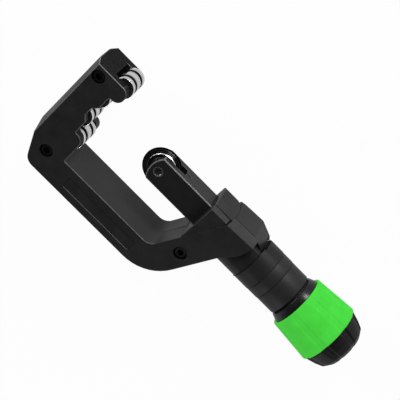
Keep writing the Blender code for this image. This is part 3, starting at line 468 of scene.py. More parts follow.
skins = {
    "frameBlack": {
        "dark": grey(0.0130, 0.0003), "light": grey(0.0172, 0.0003), "edgeHighlight": grey(0.22, 0.002),
        "specular": 0.18, "rough": 0.42, "polish": 0.16, "edgeSheen": 0.9, "dust": 0.15, "film": 60.0,
        "dapple": 120.0, "pebble": 1800.0, "bump": 0.35,
    },
    "housingBlack": {
        "dark": grey(0.0130, 0.0003), "light": grey(0.0172, 0.0003), "edgeHighlight": grey(0.10, 0.001),
        "specular": 0.16, "rough": 0.44, "polish": 0.12, "edgeSheen": 0.6, "dust": 0.15, "film": 60.0,
        "dapple": 150.0, "pebble": 1700.0, "bump": 0.35,
    },
    "barBlack": {
        "dark": grey(0.0085, 0.0005), "light": grey(0.012, 0.0005), "edgeHighlight": grey(0.16, 0.002),
        "specular": 0.24, "rough": 0.36, "polish": 0.14, "edgeSheen": 0.9, "dust": 0.1, "film": 60.0,
        "dapple": 200.0, "pebble": 2600.0, "bump": 0.2,
    },
    "collarBlack": {
        "dark": grey(0.006), "light": grey(0.008), "edgeHighlight": grey(0.02),
        "specular": 0.30, "rough": 0.26, "edgeSheen": 0.5, "dapple": 180.0, "pebble": 2400.0, "bump": 0.15,
    },
    "capBlack": {
        "dark": grey(0.005), "light": grey(0.007), "edgeHighlight": grey(0.01),
        "specular": 0.20, "rough": 0.42, "edgeSheen": 0.5, "dapple": 150.0, "pebble": 2000.0, "bump": 0.3,
    },
    "gripGreen": {
        "dark": (0.015, 0.235, 0.013), "light": (0.018, 0.275, 0.017), "edgeHighlight": (0.07, 0.55, 0.06),
        "glow": (0.070, 0.60, 0.055), "glowStrength": 0.72,
        "specular": 0.06, "rough": 0.60, "edgeSheen": 0.5, "dapple": 140.0, "pebble": 2200.0, "bump": 0.25,
    },
}
turnings = {
    "sleeveBlack": {
        "metallic": 0.0, "specular": 0.20, "axis": "X", "pitch": 2600.0, "contrast": 0.5,
        "light": grey(0.020, 0.0005), "dark": grey(0.012, 0.0005), "rough": 0.44, "bump": 0.35,
    },
    "platedBright": {
        "axis": "Z", "pitch": 2200.0, "contrast": 0.35,
        "light": grey(0.97), "dark": grey(0.62, 0.01), "rough": 0.12, "bump": 0.15,
    },
    "pinBright": {
        "axis": "Z", "pitch": 2800.0, "contrast": 0.3, "polished": grey(0.95),
        "light": grey(0.10, 0.005), "dark": grey(0.05, 0.002), "rough": 0.26, "bump": 0.2,
    },
    "wheelSteel": {
        "axis": "Z", "pitch": 3200.0, "contrast": 0.5, "polished": grey(0.9),
        "light": grey(0.050, 0.002), "dark": grey(0.020, 0.001), "rough": 0.24, "bump": 0.3,
    },
    "screwBlack": {
        "axis": "Z", "pitch": 3200.0, "contrast": 0.5, "polished": grey(0.25),
        "light": grey(0.060, 0.002), "dark": grey(0.025, 0.001), "rough": 0.30, "bump": 0.3,
    },
    "bronze": {
        "axis": "X", "pitch": 2600.0, "contrast": 0.4,
        "light": (0.66, 0.42, 0.18), "dark": (0.42, 0.25, 0.10), "rough": 0.30, "bump": 0.3,
    },
    "hiddenSteel": {
        "axis": "X", "pitch": 2400.0, "contrast": 0.4,
        "light": grey(0.30, 0.01), "dark": grey(0.18, 0.01), "rough": 0.30, "bump": 0.3,
    },
}
finishes = {name: skinFinish(name, look) for name, look in skins.items()}
finishes.update({name: turnedFinish(name, look) for name, look in turnings.items()})
print("stage: finishes made")


frameSizes = {
    "halfThick": 20.0, "backX": -25.0, "armEndY": 29.3, "armInnerX": 5.8,
    "spineOuterY": -57.9, "spineInnerY": -38.1,
    "heelCut": (-12.8, -31.5), "heelRound": 8.0, "bellyX": 98.5, "bellyRound": 32.5,
    "rearLow": (121.4, -9.2), "rearMid": (130.1, 4.0),
    "lipFrontX": 109.6, "upperLipRear": (132.9, 14.2), "upperLipFrontY": 13.3, "lipRise": (20.0, 9.0, 2.0),
    "lowerLipPoint": (142.0, 9.6), "lowerLipFlatEnd": (129.0, 15.6), "lowerLipFrontY": 14.6,
    "jawFoot": 84.7, "jawFootRound": 9.0,
    "cheekNose": (5.4, 17.3), "cheekNoseRound": 5.6, "cheekEdgeX": -2.2,
    "notchX": -5.6, "notchMouth": 7.0, "notchFloor": 3.0,
    "bayHalf": 12.6, "bayBackX": -10.2, "bayDeepX": -14.6, "bayDeepHalf": 17.5, "bayLowY": -33.6,
    "chamferDeep": 3.1, "backFlatHalf": 9.5,
    "lipUnderY": 11.7, "lipInnerZ": 8.3, "pocketGap": 0.3,
    "bridge": [
        (111.5, 9.7, 0), (138.0, 9.7, 0), (140.4, 11.2, 0.2), (129.3, 15.9, 5.0), (111.5, 15.0, 0.4),
    ],
    "bridgeOuterZ": -20.0, "bridgeSeam": 0.9,
    "housingFrontX": 94.6, "housingHalf": 17.3, "housingLowY": -17.5,
    "panel": (16.0, 77.3, -52.4, -43.6), "panelDeep": 0.35, "panelRound": 1.6,
    "screws": [(-16.5, 22.1), (-7.4, -42.5), (102.7, -26.3)],
    "screwBore": 2.8, "counterbore": 4.9, "screwSeatZ": 12.8, "screwTipZ": -14.8,
    "pinSpots": [(-0.4, 25.3), (-6.6, 9.0), (-6.6, -9.0), (-0.4, -25.3)],
    "pinBore": 2.8, "pinReach": 16.1,
    "softEdge": 0.8, "partingGap": 0.02,
}


def jawX(side, y):
    # the x of one half's slanted edge in front of the guide block, at the height y
    s = frameSizes
    top = s["upperLipFrontY"] if side > 0 else s["lowerLipFrontY"]
    run, rise = s["lipFrontX"] - s["jawFoot"], top - s["spineInnerY"]
    return s["jawFoot"] + (y - s["spineInnerY"]) * run / rise


def lipSlope():
    # takes the upper lip down to its outer edge, and follows its climb to the rear
    s = frameSizes
    outerZ, innerZ, rise = s["lipRise"]
    front, (rearX, rearY) = s["upperLipFrontY"], s["upperLipRear"]
    per = rise / (outerZ - innerZ)
    high = front + 20
    section = [(front - 2 * per, outerZ + 2), (front + rise, innerZ), (front + rise, 0)]
    section += [(high, 0), (high, 30)]
    mesh = plateMesh("lipSlope", section, s["lipFrontX"] - 8, rearX + 8, "YZ")
    climb = (rearY - front) / (rearX - s["lipFrontX"])
    shear = Matrix.Identity(4)
    shear[1][0], shear[1][3] = climb, -climb * s["lipFrontX"]
    mesh.transform(shear)
    return mesh


def frameOutline(side):
    s = frameSizes
    noseX, noseY = s["cheekNose"]
    noseRound = s["cheekNoseRound"]
    top = s["upperLipFrontY"] + s["lipRise"][2] + 1
    rear = [(s["upperLipRear"][0], top + 1, 0), (jawX(1, top), top, 0)]
    if side < 0:
        front = (s["lipFrontX"], s["lowerLipFrontY"], 0)
        rear = [(*s["lowerLipPoint"], 0.2), (*s["lowerLipFlatEnd"], 4.0), front]
    return roundedOutline([
        (s["backX"], s["armEndY"], 0.6),
        (s["backX"], s["heelCut"][1], 2.0),
        (s["heelCut"][0], s["spineOuterY"], s["heelRound"]),
        (s["bellyX"], s["spineOuterY"], s["bellyRound"]),
        (*s["rearLow"], 4.0),
        (*s["rearMid"], 10.0),
        *rear,
        (s["jawFoot"], s["spineInnerY"], s["jawFootRound"]),
        (s["armInnerX"], s["spineInnerY"], 1.0),
        (s["armInnerX"], -noseY - 2 * noseRound, 0),
        (noseX, -noseY, noseRound),
        (s["cheekEdgeX"], -noseY, 1.2),
        (s["cheekEdgeX"], -s["notchMouth"], 1.0),
        (s["notchX"], -s["notchFloor"], 1.0),
        (s["notchX"], s["notchFloor"], 1.0),
        (s["cheekEdgeX"], s["notchMouth"], 1.0),
        (s["cheekEdgeX"], noseY, 1.2),
        (noseX, noseY, noseRound),
        (noseX, s["armEndY"], noseRound),
    ])


def bayShape():
    s = frameSizes
    front, top, low = s["armInnerX"] + past, s["armEndY"] + past, s["bayLowY"]
    back, deepX, deep = s["bayBackX"], s["bayDeepX"], s["bayDeepHalf"]
    outline = [(front, low), (front, top), (back, top), (back, deep)]
    outline += [(deepX, deep), (deepX, -deep), (back, -deep), (back, low)]
    return plateMesh("bay", outline, -s["bayHalf"], s["bayHalf"])


def housingPocket(side):
    s = frameSizes
    gap = s["pocketGap"]
    wall = s["housingHalf"] + gap
    low = s["housingLowY"] - gap
    top = s["lipUnderY"]
    section = [(low, -wall), (top, -wall), (top, wall), (low, wall)]
    if side > 0:
        out = s["bridge"][3][1] + past
        way = s["lipInnerZ"]
        section = [(low, -wall), (out, -wall), (out, way), (top, way), (top, wall), (low, wall)]
    return plateMesh("pocket", section, s["housingFrontX"] - gap, s["lowerLipPoint"][0] + past, "YZ")


def backChamfer(side):
    s = frameSizes
    beyond = 4.0
    rise = (s["halfThick"] - s["backFlatHalf"]) / s["chamferDeep"]
    near, far = s["backX"] - beyond, s["backX"] + s["chamferDeep"] + beyond
    out = side * (s["halfThick"] + beyond * rise)
    outline = [(near, side * (s["backFlatHalf"] - beyond * rise)), (far, out), (near, out)]
    return plateMesh("chamfer", outline, s["spineOuterY"], s["armEndY"] + beyond, "XZ")


def panelShape(side):
    s = frameSizes
    x0, x1, y0, y1 = s["panel"]
    r = s["panelRound"]
    floor = s["halfThick"] - s["panelDeep"]
    outline = roundedOutline([(x0, y0, r), (x1, y0, r), (x1, y1, r), (x0, y1, r)], 15)
    low, high = sorted((side * floor, side * (floor + 5)))
    return plateMesh("panel", outline, low, high)


def frameEdgeWeight(side):
    s = frameSizes
    x0, x1, y0, y1 = s["panel"]

    def weigh(p):
        if abs(p.z) < 1.0:
            return 0
        for x, y in s["pinSpots"]:
            if fromLine(p, x, y) < s["pinBore"] + 0.3 and abs(p.z) < s["pinReach"] + 0.5:
                return 0
        for x, y in s["screws"]:
            away = fromLine(p, x, y)
            if away < s["counterbore"] + 0.3:
                return 0.12 if abs(p.z) > s["halfThick"] - 0.5 and away > 3.5 else 0
        outer = abs(p.z) > s["halfThick"] - 0.6
        if outer and x0 - 0.5 < p.x < x1 + 0.5 and y0 - 0.5 < p.y < y1 + 0.5:
            return 0.25 if p.y < y0 + 0.5 else 0
        if s["spineInnerY"] + 6 < p.y < 13 and abs(p.x - jawX(side, p.y)) < 0.6:
            return 0.1
        if p.x > s["housingFrontX"] - 1 and p.y > s["housingLowY"] - 1:
            return 0.3
        return 0.55 if outer else 0.4

    return weigh


def framePaintedShade(face):
    # painted shade darkens the bay behind the rollers and the seam beside the bridge, and dims the cheeks'
    # noses
    s = frameSizes
    spot = face.center
    if abs(spot.z) < s["bayHalf"] + 0.1 and s["bayDeepX"] - 0.1 < spot.x < s["cheekEdgeX"]:
        return 1
    if s["lipInnerZ"] - 1.0 < spot.z < s["lipInnerZ"] and spot.x > s["lipFrontX"] and spot.y > 9:
        return 1
    beside = s["cheekNose"][1] - 1 < abs(spot.y) < s["armEndY"] - 0.3
    nose = beside and spot.z > s["bayHalf"] and spot.x > s["cheekEdgeX"]
    return 0.6 if nose and abs(face.normal.z) < 0.3 else 0


def framePaintedLight(face):
    # painted light: the rounded edges get painted highlight, brightest at the arm's end, and the upper lip's
    # sloping top and the arm's end face are lightened a little all over
    s = frameSizes
    spot = face.center
    sloped = 0.1 < face.normal.z < 0.3 and face.normal.y > 0.9
    if sloped and spot.x > s["lipFrontX"] - 2 and face.area > 5:
        return 0.10
    if face.normal.y > 0.99 and spot.y > s["armEndY"] - 0.1:
        return 0.10
    for x, y in s["screws"]:
        if fromLine(spot, x, y) < s["counterbore"] + 0.3:
            return 0
    x0, x1, y0, y1 = s["panel"]
    if x0 - 0.5 < spot.x < x1 + 0.5 and y0 - 0.5 < spot.y < y0 + 0.5:
        return 0.3 * face.material_index
    if spot.x > s["housingFrontX"] - 1 and spot.y > s["housingLowY"] - 1:
        return 0.1 * face.material_index
    return face.material_index * (1.0 if spot.y > s["armEndY"] - 1 else 0.5)


def makeFrameHalf(name, node, side):
    s = frameSizes
    inner = s["partingGap"] / 2
    low, high = (inner, s["halfThick"]) if side > 0 else (-s["halfThick"], -inner)
    steps = [cut(backChamfer(side))]
    if side > 0:
        steps.append(cut(lipSlope()))
    else:
        seamZ = s["lipInnerZ"] - s["bridgeSeam"]
        steps.append(join(plateMesh("bridge", roundedOutline(s["bridge"]), s["bridgeOuterZ"], seamZ)))
    steps.append(cut(bayShape()))
    for x, y in s["pinSpots"]:
        seat = rodMesh("seat", s["pinBore"], -s["pinReach"], s["pinReach"], at=(x, y, 0), sides=32)
        steps.append(cut(seat))
    if side < 0:
        corner = (s["housingFrontX"] - s["pocketGap"], s["lipUnderY"] - 2, -s["lipInnerZ"])
        steps.append(cut(boxMesh("ridgeWay", corner, (s["bridge"][0][0] - 0.15, 26.0, 10.0))))
    steps.append(cut(housingPocket(side)))
    for x, y in s["screws"]:
        way = rodMesh("way", s["screwBore"], s["screwTipZ"], s["screwSeatZ"] + 0.01, at=(x, y, 0), sides=32)
        steps.append(cut(way))
        if side > 0:
            bore = rodMesh("counterbore", s["counterbore"], s["screwSeatZ"], 30.0, at=(x, y, 0), sides=56)
            steps.append(cut(bore))
    steps.append(cut(panelShape(side)))
    mesh = carve(plateMesh(name, frameOutline(side), low, high), steps)
    mesh = softenEdges(mesh, s["softEdge"], frameEdgeWeight(side), framePaintedLight)
    markFaces(mesh, "recess", framePaintedShade)
    finishPiece(name, mesh, "frame", [node], "frameBlack")


makeFrameHalf("frameHalfUpper", "frame_half_upper", 1)
makeFrameHalf("frameHalfLower", "frame_half_lower", -1)
print("stage: C-frame made")


housingSizes = {
    "frontX": 94.6, "half": 17.3, "bottomY": -17.5, "wingLowY": -16.2,
    "shoulder": ((13.3, 19.85), (14.6, 14.4)), "ridgeY": 15.4, "blockEndX": 118.0, "seam": 0.12,
    "barrelX": (111.5, 152.0), "barrelRadius": 17.25,
    "recessEndX": 139.4, "recessStep": 0.12, "lipSlot": 1.2, "bridgeGap": 0.02, "roomGap": 0.3,
    "socketX": 142.2, "socketRadius": 15.7, "barWay": 10.0, "softEdge": 0.8,
}


def housingSection():
    s = housingSizes
    low, wide = s["bottomY"], s["half"]
    (outerY, wing), (innerY, ridge) = s["shoulder"]
    half = [(low, wide), (s["wingLowY"], wing), (outerY, wing), (innerY, ridge), (s["ridgeY"], ridge)]
    return [(y, -z) for y, z in half] + half[::-1]


def behindJaw(side, gap, low, high, inner, end):
    # the room for one frame half: behind its jaw line, from z = inner outwards
    outline = [(jawX(side, low) - gap, low), (end, low), (end, high), (jawX(side, high) - gap, high)]
    return plateMesh("behindJaw", outline, *sorted((side * inner, side * 32.0)))


def frameRooms():
    f, s = frameSizes, housingSizes
    gap = s["roomGap"]
    rib, under = f["lipInnerZ"] - gap, f["lipUnderY"]
    bridgeEnd = f["bridge"][2][0] + s["bridgeGap"]
    steps = []
    for side, lipEnd in ((1, s["recessEndX"]), (-1, bridgeEnd)):
        wing = behindJaw(side, s["seam"], s["bottomY"] - past, under + gap, s["half"], s["blockEndX"] + past)
        lip = behindJaw(side, 2 * s["seam"], under - gap, under + 14, rib, lipEnd)
        slot = behindJaw(side, s["lipSlot"], under - 0.2, under + 15, s["shoulder"][1][1], lipEnd - 1)
        steps += [cut(wing), cut(lip), cut(slot)]
    corner = (f["bridge"][0][0] - s["seam"], under - gap, -rib - gap)
    steps.append(cut(boxMesh("bridgeRoom", corner, (bridgeEnd, under + 24, rib + gap))))
    return steps


def housingEdgeWeight(p):
    s = housingSizes
    if p.x > s["barrelX"][1] - 0.5 or p.x > s["socketX"] - 0.5 and fromAxis(p) < 16:
        return 0.3 if fromAxis(p) > 16.5 else 0
    if max(abs(p.y), abs(p.z)) < s["barWay"] + 0.2:
        return 0.6 if p.x < s["frontX"] + 0.5 else 0
    if p.x > s["blockEndX"]:
        return 0.6 if s["recessEndX"] - 0.2 < p.x < s["recessEndX"] + 1.6 and fromAxis(p) > 16 else 0.3
    side = 1 if p.z > 0 else -1
    if abs(p.x - jawX(side, p.y)) < 0.8:
        return 0
    if p.x < s["frontX"] + 0.5:
        return 1.0
    return 0.9 if abs(p.z) > s["half"] - 0.5 and p.y < 0 else 0.25


def lipPaintedShade(face):
    # painted shade on the floor of the lips' rooms and on the wall behind them, and, fainter, on the
    # barrel's flank
    s = housingSizes
    spot = face.center
    floor = face.normal.y > 0.99 and abs(spot.y - frameSizes["lipUnderY"] + s["roomGap"]) < 0.1
    wall = face.normal.x < -0.3 and s["recessEndX"] - 0.2 < spot.x < s["recessEndX"] + 1.6
    if floor or wall:
        return 1 if spot.z > frameSizes["lipInnerZ"] - 1.5 else 0.3
    shaded = s["blockEndX"] < spot.x < s["recessEndX"] and face.normal.z > 0.2 and spot.y > -6
    return 0.45 if shaded and abs(face.normal.x) < 0.1 else 0


def housingPaintedLight(face):
    # painted light: the shoulders beside the ridge are lightened all over, and the rounded edges get painted
    # highlight except at the barrel's step
    sloped = 0.1 < abs(face.normal.z) < 0.35 and face.normal.y > 0.9
    if sloped and face.center.x < housingSizes["barrelX"][0] and face.area > 5:
        return 0.5
    stepped = abs(face.center.x - housingSizes["recessEndX"] - 0.5) < 1.2
    return 0 if stepped else 0.5 * face.material_index


def makeHousing():
    s = housingSizes
    block = plateMesh("guideHousing", housingSection(), s["frontX"], s["blockEndX"], "YZ")
    way = s["barWay"]
    inner = way - 0.05
    low, high = s["barrelX"]
    step = s["recessEndX"]
    mesh = carve(block, [
        join(rodMesh("barrelFront", s["barrelRadius"] - s["recessStep"], low, step + 1, "X", sides=120)),
        join(rodMesh("barrelRear", s["barrelRadius"], step, high, "X", sides=120)),
        *frameRooms(),
        cut(boxMesh("barWay", (s["frontX"] - past, -way, -way), (s["socketX"] - 1, way, way))),
        cut(rodMesh("socket", s["socketRadius"], s["socketX"], high + past, "X", sides=96)),
        cut(boxMesh("wayEnd", (s["socketX"] - 3, -inner, -inner), (s["socketX"] + 1, inner, inner))),
    ])
    mesh = softenEdges(mesh, s["softEdge"], housingEdgeWeight, housingPaintedLight)
    markFaces(mesh, "recess", lipPaintedShade)
    finishPiece("guideHousing", mesh, "frame", ["guide_housing"], "housingBlack")


sleeveSizes = {
    "bore": 14.0, "spigot": 15.4, "frontX": 142.5, "ringX": 152.3,
    "frontRadius": 17.05, "stepX": 161.0, "rearRadius": 16.85, "shoulderX": 175.3,
    "neckRadius": 15.4, "endX": 188.0, "chamfer": 0.4, "wiperX": (175.95, 176.35), "wiperRadius": 16.2,
}


def makeSleeve():
    s = sleeveSizes
    front, rear, bevel = s["frontRadius"], s["rearRadius"], s["chamfer"]
    mesh = turnedMesh("handleSleeve", [
        (s["neckRadius"], s["endX"], 0.3),
        (s["neckRadius"], s["wiperX"][1], 0),
        (s["wiperRadius"], s["wiperX"][1], 0.1),
        (s["wiperRadius"], s["wiperX"][0], 0.1),
        (s["neckRadius"], s["wiperX"][0], 0),
        (s["neckRadius"], s["shoulderX"], 0),
        (rear, s["shoulderX"], bevel),
        (rear, s["stepX"] + 0.25, 0.1),
        (rear - 0.3, s["stepX"] + 0.1, 0),
        (rear - 0.3, s["stepX"] - 0.1, 0),
        (front, s["stepX"] - 0.35, 0.15),
        (front, s["ringX"], 0.4),
        (s["spigot"], s["ringX"], 0.1),
        (s["spigot"], s["frontX"], 0.4),
        (s["bore"], s["frontX"], 0.4),
        (s["bore"], s["endX"], 0.4),
    ], "X", 144)
    mesh = smoothTurned(mesh)
    floor, end = rear - 0.25, s["wiperX"][1] + 0.5
    # painted shade: every face inside the rear radius, up to just past the wiper, is darkened: the spigot,
    # the step's groove, the neck and the bore
    markFaces(mesh, "recess", lambda face: fromAxis(face.center) < floor and face.center.x < end)
    finishPiece("handleSleeve", mesh, "frame", ["handle_sleeve"], "sleeveBlack")


makeHousing()
makeSleeve()
print("stage: housing and sleeve made")


rollerSizes = {
    "end": 12.3, "bore": 2.8, "grooves": (6.3, -5.0), "grooveHalf": 2.0, "grooveDeep": 2.1,
    "soft": 0.25, "lineDeep": 0.12, "lineHalf": 0.16, "lines": (9.4, 2.9, -1.2, -8.6),
    "outerRadius": 7.3, "innerRadius": 6.9,
}


def rollerProfile(radius):
    # down the outside from +Z to -Z, past the fine lines and the two grooves, then up the bore
    s = rollerSizes
    end, soft = s["end"], s["soft"]
    cuts = [(z, "line") for z in s["lines"]] + [(z, "groove") for z in s["grooves"]]
    profile = [(s["bore"], end, 0.2), (radius, end, soft)]
    for z, kind in sorted(cuts, reverse=True):
        half, deep, corner = s["lineHalf"], s["lineDeep"], 0
        if kind == "groove":
            half, deep, corner = s["grooveHalf"], s["grooveDeep"], 0.1
        floor = half * (0.85 if kind == "groove" else 0.3)
        profile += [
            (radius, z + half, corner), (radius - deep, z + floor, corner),
            (radius - deep, z - floor, corner), (radius, z - half, corner),
        ]
    return profile + [(radius, -end, soft), (s["bore"], -end, 0.2)]


def makeRollers():
    s = rollerSizes
    for spot, label in zip(frameSizes["pinSpots"], ("outer_top", "inner_top", "inner_low", "outer_low")):
        radius = s["outerRadius"] if "outer" in label else s["innerRadius"]
        mesh = turnedMesh(label, rollerProfile(radius), "Z", 96, (*spot, 0), 30)
        mesh = smoothTurned(mesh)

        # painted shade darkens the grooves, the fine lines and the ends inside their rim
        def rollerShade(face):
            away = fromLine(face.center, *spot)
            return away < radius - 0.03 and (abs(face.center.z) < s["end"] - 0.4 or away < radius - 0.3)

        markFaces(mesh, "recess", rollerShade)
        name = "roller" + label.replace("_", " ").title().replace(" ", "")
        node = "roller_" + label
        finishPiece(name, mesh, node, [node], "platedBright")


makeRollers()
print("stage: rollers made")


barSizes = {
    "half": 9.7, "noseX": 47.5, "noseRadius": 15.5, "noseSteps": 28, "tailX": 152.0, "softEdge": 0.8,
    "wheelX": 54.0, "slotHalf": 4.0, "slotEndX": 68.3, "slitHalf": 0.9, "slitEndX": 72.8,
    "screwBore": 6.3, "nutBore": 8.3, "nutX": 137.0, "pinBore": 3.15, "clipBore": 5.2, "clipDeep": 1.8,
    "setScrewX": 144.65, "setScrewBore": 1.8,
}


def barEdgeWeight(p):
    s = barSizes
    side = max(abs(p.y), abs(p.z))
    if math.hypot(p.x - s["wheelX"], p.z) < s["clipBore"] + 0.3 and abs(p.z) < 0.1:
        return 0
    away = fromLine(p, s["wheelX"])
    if away < s["pinBore"] + 0.2 or away < s["clipBore"] + 0.2 and p.z < 0:
        return 0.3 if abs(p.z) > s["half"] - 0.3 else 0
    if fromAxis(p) < s["nutBore"] + 0.3 or side < s["half"] - 0.5:
        return 0
    if abs(p.z) < s["slotHalf"] + 0.2:
        return 0.3 if abs(p.z) > s["slitHalf"] + 0.2 else 0.2
    if abs(p.x - s["setScrewX"]) < s["setScrewBore"] + 0.3:
        return 0
    return 1.0


def makeSlideBar():
    s = barSizes
    half = s["half"]
    spread = math.asin(half / s["noseRadius"])
    outline = [(s["tailX"], -half), (s["tailX"], half)]
    steps = s["noseSteps"]
    for step in range(steps + 1):
        turn = spread * (1 - 2 * step / steps)
        depth = s["noseRadius"] * (1 - math.cos(turn))
        outline.append((s["noseX"] + depth, s["noseRadius"] * math.sin(turn)))
    side = half + past
    slot, slit = s["slotHalf"], s["slitHalf"]
    wheel = (s["wheelX"], 0, 0)
    mesh = carve(plateMesh("slideBar", outline, -half, half), [
        cut(boxMesh("slot", (s["noseX"] - past, -side, -slot), (s["slotEndX"], side, slot))),
        cut(boxMesh("slit", (s["wheelX"], -side, -slit), (s["slitEndX"], side, slit))),
        cut(rodMesh("screwBore", s["screwBore"], s["slotEndX"] + 1, s["tailX"] + past, "X")),
        cut(rodMesh("nutBore", s["nutBore"], s["nutX"], s["tailX"] + past, "X")),
        cut(rodMesh("pinBore", s["pinBore"], -side, side, at=wheel)),
        cut(rodMesh("clipBore", s["clipBore"], -side, s["clipDeep"] - half, at=wheel)),
        cut(rodMesh("setScrewBore", s["setScrewBore"], 6.0, side, at=(s["setScrewX"], 0, 0), sides=24)),
    ])
    mesh = softenEdges(mesh, s["softEdge"], barEdgeWeight, bevelSheen)
    finishPiece("slideBar", mesh, "slide", ["slide_bar"], "barBlack")


wheelSizes = {
    "radius": 13.8, "edgeHalf": 0.05, "webRadius": 9.5, "webHalf": 1.75, "hubRadius": 7.0, "hubHalf": 3.5,
    "bore": 4.7, "bevel": 0.5, "ringRadii": (12.4, 11.2), "ringDeep": 0.12, "ringHalf": 0.15,
}


def wheelProfile():
    # hub, web, a polished bevel and the ground cone with two fine rings in it, mirrored about its middle
    s = wheelSizes
    coneRadius, coneHalf = s["webRadius"] + s["bevel"], s["webHalf"] - s["bevel"]
    slope = (coneHalf - s["edgeHalf"]) / (s["radius"] - coneRadius)

    def cone(radius, sink=0.0):
        return (radius, coneHalf - (radius - coneRadius) * slope - sink, 0)

    hub, web = s["hubRadius"], s["webHalf"]
    half = [(s["bore"], s["hubHalf"], 0.2), (hub, s["hubHalf"], 0.4), (hub, web, 0.5)]
    half += [(s["webRadius"], web, 0), (coneRadius, coneHalf, 0)]
    for radius in sorted(s["ringRadii"]):
        half += [cone(radius - s["ringHalf"]), cone(radius, s["ringDeep"]), cone(radius + s["ringHalf"])]
    half.append((s["radius"], s["edgeHalf"], 0))
    return half + [(radius, -z, soft) for radius, z, soft in half[::-1]]


pinSizes = {
    "radius": 3.0, "top": 9.2, "low": -9.5, "groove": (-8.2, -9.2), "grooveRadius": 2.2, "soft": 0.45,
    "tailRadius": 2.8,
}


def fromPin(face):
    return fromLine(face.center, barSizes["wheelX"])


def makeWheelAndPin():
    at = (barSizes["wheelX"], 0, 0)
    w = wheelSizes
    mesh = smoothTurned(turnedMesh("cuttingWheel", wheelProfile(), "Z", 160, at), 20)
    markFaces(mesh, "edge", lambda face: w["webRadius"] < fromPin(face) < w["webRadius"] + w["bevel"])
    finishPiece("cuttingWheel", mesh, "wheel", ["cutting_wheel"], "wheelSteel")
    s = pinSizes
    top, low = s["groove"]
    mesh = turnedMesh("wheelPin", [
        (0, s["top"], 0), (s["radius"], s["top"], s["soft"]), (s["radius"], top, 0.05),
        (s["grooveRadius"], top, 0.05), (s["grooveRadius"], low, 0.05), (s["tailRadius"], low, 0.05),
        (s["tailRadius"], s["low"], 0.1), (0, s["low"], 0),
    ], "Z", 64, at)
    mesh = smoothTurned(mesh)
    rimZ, rim = s["top"] - s["soft"], s["radius"] - s["soft"]
    markFaces(mesh, "edge", lambda face: face.center.z > rimZ and fromPin(face) > rim)
    finishPiece("wheelPin", mesh, "slide", ["wheel_pin"], "pinBright")


makeSlideBar()
makeWheelAndPin()
print("stage: slide bar and wheel made")


# frame screws, by Geometry Nodes on three points
screwSizes = {
    "Head Radius": 4.2, "Head Height": 5.0, "Head Chamfer": 0.5, "Shank Radius": 2.5,
    "Shank Length": 27.4, "Socket Radius": 2.45, "Socket Depth": 2.8,
}
screwSeatZ = 13.1


def geometryTree(name, sizes):
    # takes a mesh, the named sizes and a finish; a whole number becomes an integer input
    tree = bpy.data.node_groups.new(name, "GeometryNodeTree")
    geometry = "NodeSocketGeometry"
    tree.interface.new_socket("Geometry", in_out="INPUT", socket_type=geometry)
    for label, value in sizes.items():
        kind = "NodeSocketInt" if isinstance(value, int) else number
        tree.interface.new_socket(label, in_out="INPUT", socket_type=kind).default_value = value
    tree.interface.new_socket("Finish", in_out="INPUT", socket_type="NodeSocketMaterial")
    tree.interface.new_socket("Geometry", in_out="OUTPUT", socket_type=geometry)
    wire = Nodes(tree)
    return wire, wire.add("NodeGroupInput").outputs, wire.add("NodeGroupOutput").inputs


def closeTree(wire, geometry, given, out):
    real = wire.add("GeometryNodeRealizeInstances", {"Geometry": geometry}).outputs[0]
    dressed = wire.add("GeometryNodeSetMaterial", {"Geometry": real, "Material": given["Finish"]})
    wire.feed(out["Geometry"], dressed.outputs[0])
    return wire.tree


def treeMesh(thing, tree, values):
    # the mesh that a tree makes of a thing, with its inputs set by their identifiers
    modifier = thing.modifiers.new(tree.name, "NODES")
    modifier.node_group = tree
    for item in tree.interface.items_tree:
        if item.item_type == "SOCKET" and item.in_out == "INPUT" and item.name in values:
            modifier[item.identifier] = values[item.name]
    return bakedMesh(thing)


def makeScrewTree():
    wire, given, out = geometryTree("socketScrews", screwSizes)

    def rod(radius, low, length, sides, topRadius=None):
        sizes = {"Radius Bottom": radius, "Radius Top": topRadius or radius}
        cone = wire.add("GeometryNodeMeshCone", {"Vertices": sides, "Depth": length, **sizes})
        lift = wire.add("ShaderNodeCombineXYZ", {"Z": low}).outputs[0]
        place = {"Geometry": cone.outputs["Mesh"], "Translation": lift}
        return wire.add("GeometryNodeTransform", place).outputs[0]

    chamfer = given["Head Chamfer"]
    straight = wire.math("SUBTRACT", given["Head Height"], chamfer)
    rimRadius = wire.math("SUBTRACT", given["Head Radius"], chamfer)
    head = rod(given["Head Radius"], 0.0, straight, 64)
    rim = rod(given["Head Radius"], straight, chamfer, 64, rimRadius)
    shankLow = wire.math("MULTIPLY", given["Shank Length"], -1.0)
    shank = rod(given["Shank Radius"], shankLow, wire.math("ADD", given["Shank Length"], 0.5), 48)
    solid = wire.add("GeometryNodeMeshBoolean", operation="UNION")
    for part in (head, rim, shank):
        wire.tree.links.new(part, solid.inputs["Mesh 2"])
    socketLow = wire.math("SUBTRACT", given["Head Height"], given["Socket Depth"])
    socket = rod(given["Socket Radius"], socketLow, wire.math("ADD", given["Socket Depth"], 1.0), 6)
    both = {"Mesh 1": solid.outputs[0], "Mesh 2": socket}
    bored = wire.add("GeometryNodeMeshBoolean", both, operation="DIFFERENCE").outputs[0]
    spread = wire.add("GeometryNodeInstanceOnPoints", {"Points": given["Geometry"], "Instance": bored})
    return closeTree(wire, spread.outputs[0], given, out)


def makeFrameScrews():
    work = bmesh.new()
    for x, y in frameSizes["screws"]:
        work.verts.new((x, y, screwSeatZ))
    points = placeThing("frameScrews", meshFrom("screwPoints", work))
    values = {**screwSizes, "Finish": finishes["screwBlack"]}
    mesh = smoothTurned(treeMesh(points, makeScrewTree(), values))
    markFaces(mesh, "edge", lambda face: 0.3 < face.normal.z < 0.95 and face.center.z > screwSeatZ + 3)
    nodes = ["frame_screw_1", "frame_screw_2", "frame_screw_3"]
    finishPiece("frameScrews", mesh, "frame", nodes, "screwBlack")


makeFrameScrews()
print("stage: frame screws made")


